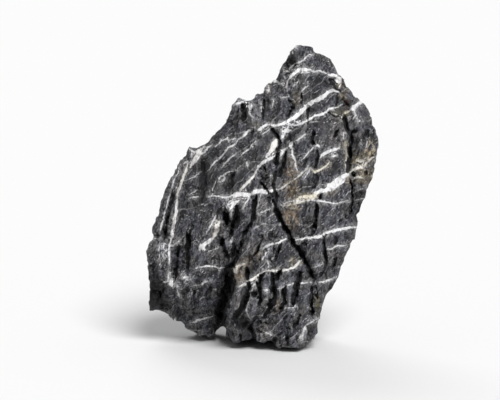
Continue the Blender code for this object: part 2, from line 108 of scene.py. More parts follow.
# The outline in the picture, clockwise from the peak.
OUTLINE = [
    (291, 51), (293, 48), (297, 45), (305, 46), (313, 48), (312, 52), (320, 54), (327, 57), (331, 60),
    (333, 64), (336, 71), (339, 75), (344, 79.5), (342, 83), (341.5, 87.5), (346.5, 86.5), (349.5, 90),
    (353, 95), (359, 99.5), (361, 103), (364.5, 104), (368, 110), (369.5, 113), (371, 119), (372, 127),
    (375, 129), (376, 133), (378, 138), (378, 148), (376, 160), (374, 169), (373, 176), (369, 184),
    (366, 191), (365, 199), (361, 204), (359, 212),
    (355, 214), (358, 222), (355, 233), (355, 239), (351, 243), (347, 252), (341, 267), (337, 279),
    (331, 289), (326, 295), (322, 306), (319, 319), (317, 324), (317, 332), (314, 337), (305, 345),
    (300, 348), (283, 347), (279, 349), (275, 346), (273, 342), (270, 340), (264, 343), (257, 341),
    (255, 337), (248, 340), (243, 340), (238, 343), (234, 343), (231, 339), (226, 336), (227, 328),
    (223, 326), (219, 327), (214, 335), (210, 338), (204, 335), (199, 337), (196, 332), (188, 330),
    (185, 327), (184, 322), (173, 320), (166, 313), (159, 310), (149, 310), (149, 275), (146, 251),
    (150, 242), (153, 239), (153, 226), (159, 213), (161, 201), (168, 183), (174, 174), (180, 160),
    (184, 158), (190, 147), (196, 149), (207, 143), (216, 133), (226, 122), (229, 115), (232, 105),
    (235, 102), (238, 97), (241, 99), (253, 101), (255, 95), (258, 93), (263, 97), (264, 87), (268, 83),
    (270, 87), (273, 84), (272, 81), (277, 80), (279, 72), (283, 64), (287, 60),
]

# Knobs that stand out of the outline: their place, depth, and size across, through and up.
KNOBS = [
    (267.5, 89, -6, 3.5, 5, 6), (256.5, 100, -4, 6, 9, 7), (237, 106, -4, 6, 8, 9),
    (284, 70, -4, 8, 12, 12), (339.5, 82, -10, 4.6, 6, 6.4), (191, 153, -2, 7, 8, 7),
    (155, 297, 4, 8, 12, 14), (355, 233, 0, 4, 7, 9), (374, 142, -2, 5, 8, 12), (298, 50, 0, 6, 9, 6),
]

# Cracks, slots and flutes of the front: width, depth, and the route from top to bottom.
CRACKS = [
    # the long crack down the middle, its branch and its side slots
    (3.0, 10, [(270, 126), (274, 131), (277, 136), (279, 141), (279, 148), (278, 155), (277, 162),
               (276, 169), (275, 178), (273.5, 186), (275, 190), (277, 195), (276, 200), (276, 211)]),
    (4.8, 14, [(276, 206), (276.4, 212), (279, 216), (280, 221), (283.8, 225), (285.6, 230), (288.8, 233),
               (290, 238), (293, 241), (293.6, 245), (297.6, 248), (299, 252), (302.2, 255), (303.4, 260),
               (306.2, 263), (307.4, 267), (310, 271), (311.4, 275), (314.6, 279)]),
    (3, 7, [(293.4, 243), (296.4, 250), (300, 252)]),
    (2.6, 6, [(308, 240), (303, 246), (300, 249)]),
    (3, 8, [(260, 180), (263, 185), (267, 190), (271, 195), (273, 201), (276, 210)]),
    (3, 7, [(286, 152), (284.5, 159), (282, 167), (280, 176)]),
    (1.8, 3, [(293, 142), (294, 150)]),
    (3, 7, [(263, 166), (267, 178)]),
    # the cleft in front of the right lobe
    (5.4, 13, [(344.6, 116), (345.2, 122), (345.6, 128), (348, 132)]),
    (4.4, 14, [(347.6, 131), (350.6, 135), (351, 139), (349.8, 144), (349.4, 151), (349, 159), (348.4, 165),
               (348.4, 171)]),
    (2.8, 13, [(349.6, 178), (350.4, 183), (352.4, 187), (351.4, 193), (352.8, 197), (352, 202),
               (350.6, 207), (350, 214)]),
    (4.4, 9, [(349, 133), (353, 132), (356.6, 130)]),
    (5.4, 9, [(331, 79.6), (332.8, 83), (334.2, 87)]),
    (2.6, 7, [(334, 87), (338, 90), (341, 91)]),
    # slots of the upper slabs
    (1.8, 5, [(308.6, 106), (308, 113), (307, 120), (307.4, 127), (306.6, 134)]),
    (3.4, 8, [(313, 129), (313.6, 134), (311.6, 138), (312, 142), (314.6, 145)]),
    (3.2, 7, [(316.4, 149), (318, 156), (316.6, 162), (316, 170)]),
    (4.6, 4, [(316, 172), (315, 179), (313, 191)]),
    (2.4, 5, [(339, 130), (336.4, 133), (334.4, 136.6)]),
    (2.4, 6, [(337.4, 93.6), (337, 99), (336, 105)]),
    (2, 5, [(328.6, 112), (333, 115.6), (340, 117)]),
    (2.2, 5, [(301, 93), (302, 98), (301, 103)]),
    (2.2, 5, [(288, 99), (294, 106), (290, 114), (286, 121)]),
    (2.4, 7, [(264, 98), (264, 108), (263, 120)]),
    (6, 6, [(243, 105), (244, 112), (243, 121)]),
    (2.2, 5, [(288.6, 57), (286.6, 63), (288, 69)]),
    (2, 4, [(285, 86), (288, 92), (291, 97)]),
    # soft folds of the upper left
    (7, 4, [(204, 160), (203, 175), (202, 190), (202, 205)]),
    (3, 3, [(221, 157), (218, 170)]),
    (7, 3, [(233, 171), (232, 182), (230, 192)]),
    # slots of the left side
    (4, 9, [(193, 225), (190, 232), (188, 238), (187, 250), (188, 270)]),
    (3, 7, [(173, 195), (171, 203), (168, 220), (165, 235)]),
    (2.8, 6, [(179, 243), (178, 250), (177, 258)]),
    (3.8, 6, [(177, 263), (175.6, 272), (175.6, 280)]),
    (3, 5, [(154, 262), (153, 270), (154, 276)]),
    (5, 3.5, [(197, 268), (198, 284), (201, 300)]),
    (5, 3.5, [(210, 284), (209, 293), (208, 304)]),
    (4, 3.5, [(183, 290), (184, 300), (184, 310)]),
    (4, 3.5, [(164, 286), (163, 298), (163, 308)]),
    (4, 3.5, [(194, 286), (195, 300), (194, 312)]),
    # the flutes that open into the dark valley
    (5, 9, [(225, 208), (226, 217), (226, 226)]),
    (5, 9, [(222, 240), (224, 250), (228, 258)]),
    (4, 9, [(256.5, 196), (256, 203), (254.5, 210), (253.7, 217), (251, 223), (246, 231)]),
    (5, 10, [(237, 206), (235.5, 216), (233, 224), (231, 232), (230, 238)]),
    (4, 11, [(248, 227), (243, 236), (241, 247), (237, 257), (233, 264)]),
    (4, 12, [(235, 260), (230.5, 267), (229, 274)]),
    (12, 15, [(229, 268), (229, 280), (227.5, 290), (224.5, 300), (221.5, 310), (219.5, 320), (219, 334)]),
    # flutes between the valley and the long crack
    (2.8, 8, [(262.5, 234), (261, 242), (258, 248), (255, 254), (250, 260)]),
    (3.4, 9, [(281, 243), (279, 249), (275.5, 257), (274, 262)]),
    (2.8, 7, [(278, 230), (275.5, 238)]),
    (3.8, 9, [(247, 267), (247.2, 274), (246.6, 280)]),
    (5.4, 12, [(248.8, 282), (248.2, 289), (247, 296), (244.6, 303), (240.6, 309), (237, 315), (235, 322)]),
    (4, 9, [(265, 273.5), (260, 276), (259, 283), (258.8, 290), (259.5, 297), (260.3, 305)]),
    (5.6, 12, [(272, 273), (272.5, 283), (273.5, 290), (274, 297), (272.5, 303), (269, 309), (266, 314)]),
    (3.6, 8, [(257, 316.6), (253.5, 320), (251.6, 324), (250, 330)]),
    (4.4, 9, [(281, 270), (278.5, 275), (276, 280)]),
    (4.4, 10, [(285.5, 286), (284.3, 292), (283.6, 298), (283.5, 303), (281.3, 308), (279, 314)]),
    (5.2, 11, [(301, 272), (299, 278), (297.3, 284), (296.3, 290), (294.6, 296), (293, 302), (292, 307)]),
    (2, 5, [(299, 305), (297, 309), (298, 314)]),
    (4, 9, [(299.5, 314), (298, 320), (295, 326)]),
    (4, 9, [(311, 286), (310.6, 295), (311, 305), (311.6, 315)]),
    (2.4, 6, [(315.5, 284), (317, 292), (317.6, 300)]),
    # flutes right of the long crack
    (3.4, 8, [(323, 236), (324, 247), (325.5, 254), (326, 264), (323, 272), (318.5, 277)]),
    (3.4, 7, [(336, 257), (334, 265), (331.5, 270)]),
    (3, 6, [(336, 236), (335.4, 245)]),
    (4, 10, [(317.4, 205), (316, 214), (314.6, 223), (316, 229)]),
    (2.2, 5, [(309, 208), (309, 213)]),
    (2.2, 5, [(300, 225), (300, 231)]),
    # between the toes
    (4.4, 6, [(274, 346), (274, 340)]),
    (4, 7, [(254, 342), (253, 333), (250, 326)]),
    (3, 5, [(288, 346), (288, 338), (286, 330)]),
    (3, 5, [(240, 342), (240, 334)]),
]

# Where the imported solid's wide grooves are filled before the narrow cracks are cut: width and route.
FILLED = [
    (20, [(270, 126), (279, 141), (279, 150), (275, 178), (275, 190), (278, 208)]),
    (20, [(278, 208), (283, 222), (296, 244), (305, 258), (315, 279)]),
    (20, [(337, 84), (341, 95), (344, 105), (345, 120), (349, 137), (350, 150)]),
    (20, [(350, 150), (349, 160), (350, 176), (352, 192), (350, 210)]),
    (16, [(249, 100), (248, 112), (244, 122)]),
    (15, [(251, 280), (250, 297), (245, 308), (239, 317)]),
    (14, [(262, 273), (259, 285), (260, 303)]),
    (16, [(273, 276), (276, 291), (275, 302), (271, 312), (262, 317), (254, 322)]),
    (14, [(285, 268), (279, 278)]),
    (14, [(287, 286), (286, 299), (282, 315)]),
    (14, [(303, 270), (299, 281), (297, 293), (294, 304)]),
    (13, [(301, 307), (299, 317), (298, 325)]),
    (13, [(314, 287), (312, 299), (313, 313)]),
    (14, [(258, 197), (258, 207), (255, 219), (250, 228), (246, 234)]),
    (14, [(268, 222), (265, 234), (261, 245), (256, 255)]),
    (13, [(281, 226), (277, 238)]),
    (14, [(283, 243), (280, 251), (274, 265)]),
    (14, [(320, 205), (318, 216), (317, 225), (319, 233)]),
    (12, [(315, 129), (313, 145), (318, 151), (319, 159), (317, 173), (316, 191)]),
    (12, [(342, 129), (332, 140)]),
    (13, [(328, 258), (327, 269), (322, 276)]),
    (13, [(339, 256), (338, 263), (333, 270)]),
    (15, [(196, 222), (191, 235), (188, 249), (190, 261), (191, 272)]),
]

# The filling leaves alone what lies deeper than this behind the front, and its fit counts in this length.
DEEPEST_GROOVE = 45
FIT_LENGTH = 50

# The wide hollow at the foot of the valley: place, inner and outer radius, depth.
VALLEY_HOLLOW = (243, 321, 3, 8, 6)

# Round pits: place, radius, depth.
PITS = [
    (353, 174, 3.2, 7), (320.5, 196, 2.6, 5), (372, 156, 1.8, 3), (369, 164, 1.8, 3), (365, 161.6, 1.6, 3),
    (357, 163, 1.8, 3), (366, 173, 2, 3), (264.5, 316.5, 2.8, 5), (267, 323.5, 2, 4),
    (262.4, 326.3, 1.7, 4), (261.5, 332, 1.8, 4), (289, 328, 2.2, 4), (253.6, 294, 3.2, 5),
    (275, 339.5, 3, 5), (208, 128, 2, 2),
]

# Ribs that stand out: width, height, route.
RIBS = [
    (11, 3.5, [(238, 264), (241, 275), (240.5, 284), (238.5, 294), (235, 304), (231.5, 314), (229.5, 324)]),
    (5, 2, [(255, 281), (252, 288), (250.5, 296)]),
    (12, 4, [(253, 299), (253, 306), (252, 314), (251.5, 318)]),
    (9, 2, [(243, 240), (239, 252), (236, 262)]),
    (9, 2.5, [(265, 278), (266, 290), (266, 300), (262, 310)]),
    (7, 2, [(279, 286), (279.5, 298), (276, 308)]),
    (9, 2, [(291, 276), (290, 290), (288, 304)]),
    (10, 2, [(304, 284), (302, 296), (303, 310)]),
    (14, 3, [(238, 262), (239, 272), (240, 282)]),
    (6, 2, [(213, 216), (207, 232), (203, 246)]),
    (6, 2, [(262, 332), (258, 340)]),
    (6, 2, [(233, 330), (236, 340)]),
    (12, 5, [(252, 104), (253.6, 114), (253, 126)]),
    (12, 3, [(235, 107), (233, 115)]),
    (12, 3, [(361, 134), (362, 143), (361, 152)]),
    (5, 2, [(160, 262), (159, 272), (158, 284)]),
    (5, 2, [(169, 256), (169, 270), (169, 286)]),
    (5, 2, [(181, 268), (180.5, 280), (181, 292)]),
    (5, 2, [(190, 300), (188, 312), (187, 322)]),
    (8, 3, [(203, 326), (203, 334)]),
    (8, 2, [(214, 282), (215, 296), (213, 308)]),
    (9, 3, [(335, 112), (340, 111), (345, 108)]),
]

# Smooth slab faces: place and reach each way.
SMOOTH_FACES = [
    (240, 298, 6, 26), (253, 306, 6, 13), (266, 292, 6, 18), (279, 298, 5, 14), (290, 292, 5, 18),
    (304, 302, 6, 20), (322, 122, 22, 30), (308, 84, 20, 12), (232, 160, 26, 22), (288, 254, 13, 13),
    (330, 215, 18, 18), (300, 130, 10, 22), (215, 185, 22, 18), (360, 118, 10, 16), (268, 148, 12, 16),
    (330, 165, 14, 12),
]


def smooth_between(low, high, value):
    """0 below low and 1 above high, with a soft change between."""
    share = np.clip((value - low) / (high - low), 0, 1)
    return share * share * (3 - 2 * share)


def at_each(read, places):
    """What a function of place gives at each place."""
    return np.array([read(Vector(place)) for place in places])


def from_route(route, places, reach):
    """The places near a route: which ones, their way from it, and their share of the way along it."""
    ends = np.array(route, float)
    inside = np.all((places > ends.min(axis=0) - reach) & (places < ends.max(axis=0) + reach), axis=1)
    near = np.flatnonzero(inside)
    close = places[near]
    legs = np.diff(ends, axis=0)
    lengths = np.linalg.norm(legs, axis=1)
    walked = np.concatenate([[0], np.cumsum(lengths)])
    least = np.full(len(near), np.inf)
    way = np.zeros(close.shape)
    share = np.zeros(len(near))
    for start, leg, length, before in zip(ends, legs, lengths, walked):
        along = np.clip((close - start) @ leg / length ** 2, 0, 1)
        offset = close - start - along[:, None] * leg
        distance = np.linalg.norm(offset, axis=1)
        closer = distance < least
        least[closer] = distance[closer]
        way[closer] = offset[closer]
        share[closer] = (before + along[closer] * length) / walked[-1]
    return near, way, share


def tapered(share, end):
    """1 along most of a route, falling to 0 at both of its ends."""
    return smooth_between(0, end, share) * smooth_between(0, end, 1 - share)


# Broken edges stray in a slow sway and in a step at each chip: the size of each, and how far it goes.
# The noise starts from a fixed seed, so that each run gives the same stone.
EDGE_SWAY = 6
EDGE_SWAY_REACH = 0.8
EDGE_CHIP = (2.6, 4.5, 1)
EDGE_CHIP_REACH = 1.7
noise.seed_set(1)


def chip_step(place):
    """A step of its own for each chip."""
    distances, centres = noise.voronoi(place)
    return noise.cell_vector(centres[0] * 7.3) - Vector((0.5, 0.5, 0.5))


def wander_at(places):
    """How far broken edges stray at each place in the picture."""
    spots = np.column_stack([places, np.zeros(len(places))])
    sways = at_each(noise.noise_vector, spots / EDGE_SWAY) * EDGE_SWAY_REACH
    steps = at_each(chip_step, spots / EDGE_CHIP) * EDGE_CHIP_REACH
    return (sways + steps)[:, :2]


def crack_half(width, share, wander):
    """Half a crack's width, which narrows to its ends and swells and pinches on the way."""
    swell = 1 + 0.25 * wander[:, 0] - 0.25 * wander[:, 1]
    return width / 2 * (0.65 + 0.45 * tapered(share, 0.12)) * swell


def points_of(mesh):
    flat = np.empty(len(mesh.vertices) * 3, np.float32)
    mesh.vertices.foreach_get("co", flat)
    return flat.reshape(-1, 3).astype(float)


def normals_of(mesh):
    flat = np.empty(len(mesh.vertices) * 3, np.float32)
    mesh.vertices.foreach_get("normal", flat)
    return flat.reshape(-1, 3).astype(float)


def move_points(mesh, points):
    """Puts a mesh's points in place, to a ten-thousandth of a millimetre."""
    mesh.vertices.foreach_set("co", np.round(points, 7).astype(np.float32).ravel())
    mesh.update()


def evened(mesh, points, rounds):
    """The points drawn towards their neighbours again and again."""
    pairs = np.empty(len(mesh.edges) * 2, np.int32)
    mesh.edges.foreach_get("vertices", pairs)
    first, second = pairs.reshape(-1, 2).T
    starts = np.concatenate([first, second])
    ends = np.concatenate([second, first])
    count = np.bincount(starts, minlength=len(points))
    for _ in range(rounds):
        sums = [np.bincount(starts, weights=points[ends, axis], minlength=len(points)) for axis in range(3)]
        points = np.column_stack(sums) / count[:, None]
    return points


def apply_modifier(piece, kind, **settings):
    bpy.context.view_layer.objects.active = piece
    modifier = piece.modifiers.new(kind.title(), kind)
    for name, value in settings.items():
        setattr(modifier, name, value)
    bpy.ops.object.modifier_apply(modifier=modifier.name)


bpy.ops.object.select_all(action="DESELECT")
stone = bpy.data.objects.new("weathered_stone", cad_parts["seiryu_stone"].data.copy())
bpy.context.scene.collection.objects.link(stone)
bpy.context.view_layer.objects.active = stone
stone.select_set(True)
bpy.ops.object.mode_set(mode="EDIT")
bpy.ops.mesh.select_all(action="SELECT")
bpy.ops.mesh.remove_doubles(threshold=0.00001)
bpy.ops.object.mode_set(mode="OBJECT")
for right, down, depth, across, through, up in KNOBS:
    bpy.ops.mesh.primitive_ico_sphere_add(subdivisions=3, radius=UNIT,
                                          location=from_picture(right, down, depth),
                                          scale=(across, through, up), rotation=(0, BED_LEAN, 0))
    stone.select_set(True)
    bpy.context.view_layer.objects.active = stone
    bpy.ops.object.join()
apply_modifier(stone, "REMESH", mode="VOXEL", voxel_size=GRAIN * UNIT)
apply_modifier(stone, "SMOOTH", factor=0.5, iterations=2)

# Ribs are raised and cracks are cut straight back from the picture. Their edges wander a little.
points = points_of(stone.data)
facing = smooth_between(-0.05, 0.3, normals_of(stone.data) @ -SIGHT)
places = to_picture(points)
wander = wander_at(places)
places += wander
sight_lines = points - eye
sight_lines /= np.linalg.norm(sight_lines, axis=1)[:, None]

# A smooth sheet is fitted to the rock on both sides of a wide groove, and the groove is lifted to it.
for width, route in FILLED:
    near, way, share = from_route(route, places, width)
    near_depth = (points[near] - eye) @ SIGHT / UNIT
    near_front = near_depth < np.median(near_depth[facing[near] > 0.5]) + DEEPEST_GROOVE
    near, way, near_depth = near[near_front], way[near_front], near_depth[near_front]
    away = np.linalg.norm(way, axis=1) / width
    right, down = (places[near] - places[near].mean(axis=0)).T / FIT_LENGTH
    terms = np.column_stack([np.ones(len(near)), right, down, right * down, down ** 2, down ** 3])
    beside = (away > 0.35) & (away < 0.7) & (facing[near] > 0.7)
    shape = np.linalg.solve(terms[beside].T @ terms[beside], terms[beside].T @ near_depth[beside])
    sheet = terms @ np.round(shape, 5)
    lift = np.maximum(near_depth - sheet, 0) * (1 - smooth_between(0.25, 0.45, away))
    points[near] -= lift[:, None] * UNIT * sight_lines[near]

raised = np.zeros(len(points))
for width, height, route in RIBS:
    near, way, share = from_route(route, places, width)
    away = np.linalg.norm(way, axis=1)
    raised[near] += height * (1 - smooth_between(0, width / 2, away))
cut = np.zeros(len(points))
for width, depth, route in CRACKS:
    near, way, share = from_route(route, places, width)
    away = np.linalg.norm(way, axis=1)
    half = crack_half(width, share, wander[near])
    slot = depth * (0.4 + 0.6 * tapered(share, 0.15)) * (1 - smooth_between(0.5, 1, away / half))
    cut[near] = np.maximum(cut[near], slot)
for right, down, radius, depth in PITS:
    away = np.linalg.norm(places - (right, down), axis=1)
    cut = np.maximum(cut, depth * (1 - smooth_between(0.4, 1, away / radius)))
right, down, inner, outer, depth = VALLEY_HOLLOW
away = np.hypot(places[:, 0] - right, (places[:, 1] - down) * 0.75)
cut = np.maximum(cut, depth * (1 - smooth_between(inner, outer, away)))
points += ((cut - raised) * facing * UNIT)[:, None] * sight_lines
move_points(stone.data, points)

# Slots of the back and sides run down the beds, and are cut into the surface wherever they cross it.
FAR_SLOTS = 90
FAR_SLOT_REACH = (7, 20)
FAR_SLOT_SWAY = 4
FAR_SLOT_WIDTH = (2.4, 4.4)
FAR_SLOT_STEEPNESS = 2.4
bed_up = np.array([math.sin(BED_LEAN), 0, math.cos(BED_LEAN)])
bed_across = np.array([math.cos(BED_LEAN) * math.cos(BED_TURN), math.sin(BED_TURN),
                       -math.sin(BED_LEAN) * math.cos(BED_TURN)])
bed_through = np.cross(bed_up, bed_across)
chance = random.Random(11)
points = points_of(stone.data) / UNIT
normals = normals_of(stone.data)
behind = np.flatnonzero((points[:, 1] > 4) & (normals[:, 2] > -0.5))
far_slots = []
for slot in range(FAR_SLOTS):
    middle = points[chance.choice(behind)]
    reach = chance.uniform(*FAR_SLOT_REACH)
    sway = bed_across * chance.uniform(-FAR_SLOT_SWAY, FAR_SLOT_SWAY)
    width = chance.uniform(*FAR_SLOT_WIDTH)
    route = [middle + bed_up * reach, middle + bed_up * reach * 0.3 + sway * 0.5,
             middle - bed_up * reach * 0.3 - sway * 0.3, middle - bed_up * reach - sway]
    far_slots.append((width, route))


def far_slot_depth(points):
    """How deep the slots of the back and sides are at each point."""
    depth = np.zeros(len(points))
    for width, route in far_slots:
        near, way, share = from_route(route, points, width)
        away = np.linalg.norm(way @ np.array([bed_across, bed_through * 0.5]).T, axis=1)
        deepest = width * FAR_SLOT_STEEPNESS * tapered(share, 0.3)
        slot = deepest * (1 - smooth_between(0.3, 1, away / (width / 2)))
        depth[near] = np.maximum(depth[near], slot)
    return depth * smooth_between(0, 8, points[:, 1])


points -= normals * far_slot_depth(points)[:, None]
move_points(stone.data, points * UNIT)


def fit_outline(mesh, push):
    """Brings in what passes the outline in the picture, and pushes the rim out to it."""
    points = points_of(mesh)
    rim = 1 - smooth_between(0.1, 0.6, np.abs(normals_of(mesh) @ SIGHT))
    places = to_picture(points)
    places += wander_at(places) * 0.7
    inside = np.zeros(len(points), bool)
    for (right, down), (next_right, next_down) in zip(OUTLINE, OUTLINE[1:] + OUTLINE[:1]):
        if down != next_down:
            crosses = (places[:, 1] > down) != (places[:, 1] > next_down)
            edge = right + (places[:, 1] - down) * (next_right - right) / (next_down - down)
            inside ^= crosses & (places[:, 0] < edge)
    near, way, share = from_route(OUTLINE + OUTLINE[:1], places, 20)
    away = np.zeros((len(points), 2))
    away[near] = way
    distance = np.linalg.norm(away, axis=1)
    moved = np.where(inside, rim * push * (1 - smooth_between(3, 7, distance)), 1)
    shift = -away * moved[:, None] * UNIT
    points += PICTURE_RIGHT * shift[:, :1] - PICTURE_UP * shift[:, 1:]
    move_points(mesh, points)


fit_outline(stone.data, 0.9)
apply_modifier(stone, "REMESH", mode="VOXEL", voxel_size=GRAIN * UNIT)

# Chips, fine flutes and crumbs cover the whole surface, with less on the smooth slab faces. Their sizes
# are across, through and up the beds.
BIG_CHIP = (8, 12, 24)
SMALL_CHIP = (4, 6, 11)
FLUTE = (6, 12, 40)
CRUMB = 2.6
BED_SWAY = 4
BED_SWAY_SIZE = 16
points = points_of(stone.data)
normals = normals_of(stone.data)
places = to_picture(points)


def smooth_face_at(places):
    """1 on the smooth slab faces of the front, and 0 elsewhere."""
    strongest = np.zeros(len(places))
    for right, down, reach_right, reach_down in SMOOTH_FACES:
        reach = np.hypot((places[:, 0] - right) / reach_right, (places[:, 1] - down) / reach_down)
        strongest = np.maximum(strongest, 1 - smooth_between(0.6, 1.1, reach))
    return strongest


smooth_face = smooth_face_at(places) * smooth_between(0.1, 0.5, normals @ -SIGHT)
rough = 1 - 0.7 * smooth_face
sway = at_each(noise.noise_vector, points / (BED_SWAY_SIZE * UNIT)) * BED_SWAY
bedded = (points / UNIT + sway) @ np.array([bed_across, bed_through, bed_up]).T


def chip_height(place):
    """A flat chip that steps in or out and tips a little."""
    distances, centres = noise.voronoi(place)
    tip = noise.cell_vector(centres[0] * 7.3)
    lean = Vector((tip.x - 0.5, tip.y - 0.5, tip.z - 0.5)).dot(place - centres[0])
    return (tip.x - 0.5) * 2.4 + lean * 3.2


def flute_height(place):
    return noise.ridged_multi_fractal(place, 0.9, 2.1, 3, 1.0, 2.0) - 1.2


def crumb_height(place):
    return noise.fractal(place, 0.8, 2.2, 3)


relief = at_each(chip_height, bedded / BIG_CHIP) * 1.1
relief += at_each(chip_height, bedded / SMALL_CHIP + 40) * 0.8
relief += at_each(flute_height, bedded / FLUTE) * 1.1 * rough
relief += at_each(crumb_height, points / (CRUMB * UNIT)) * 0.5
move_points(stone.data, points + normals * (relief * rough * UNIT)[:, None])
fit_outline(stone.data, 0.5)

# Crumbs that the cuts broke right off are taken away.
bpy.ops.object.select_all(action="DESELECT")
stone.select_set(True)
bpy.ops.object.mode_set(mode="EDIT")
bpy.ops.mesh.select_all(action="SELECT")
bpy.ops.mesh.separate(type="LOOSE")
bpy.ops.object.mode_set(mode="OBJECT")
loose_parts = sorted(bpy.context.selected_objects, key=lambda part: len(part.data.vertices))
stone = loose_parts.pop()
for crumb in loose_parts:
    bpy.data.meshes.remove(crumb.data)


def thin_out(piece, chosen, most_left):
    """Merges triangles among the chosen points until the mesh has no more than so many."""
    group = piece.vertex_groups.new(name="thinned")
    group.add(np.flatnonzero(chosen).tolist(), 1.0, "REPLACE")
    share = min(1, most_left / len(piece.data.polygons))
    apply_modifier(piece, "DECIMATE", ratio=share, vertex_group=group.name)
    piece.vertex_groups.clear()


def seen_in_front(mesh):
    """Which points lie on the front, where it faces the viewpoint by and large."""
    facing = normals_of(mesh) @ -SIGHT
    broad_facing = evened(mesh, np.column_stack([facing] * 3), 12)[:, 0]
    return (points_of(mesh)[:, 1] < FRONT_DEPTH * UNIT) & (broad_facing > 0.05)


# The front keeps its finest detail, and the sides and back are thinned more.
apply_modifier(stone, "TRIANGULATE")
seen = seen_in_front(stone.data)
corners = np.empty(len(stone.data.polygons) * 3, np.int32)
stone.data.polygons.foreach_get("vertices", corners)
front_count = int(seen[corners.reshape(-1, 3)].any(axis=1).sum())
thin_out(stone, ~seen, front_count + FAR_TRIANGLES)
thin_out(stone, seen_in_front(stone.data), FRONT_TRIANGLES + FAR_TRIANGLES)

# The floor cuts the feet flat, and nothing passes the solid's box.
move_points(stone.data, np.clip(points_of(stone.data), np.array(solid_box[0]), np.array(solid_box[1])))
stone.data.shade_smooth()

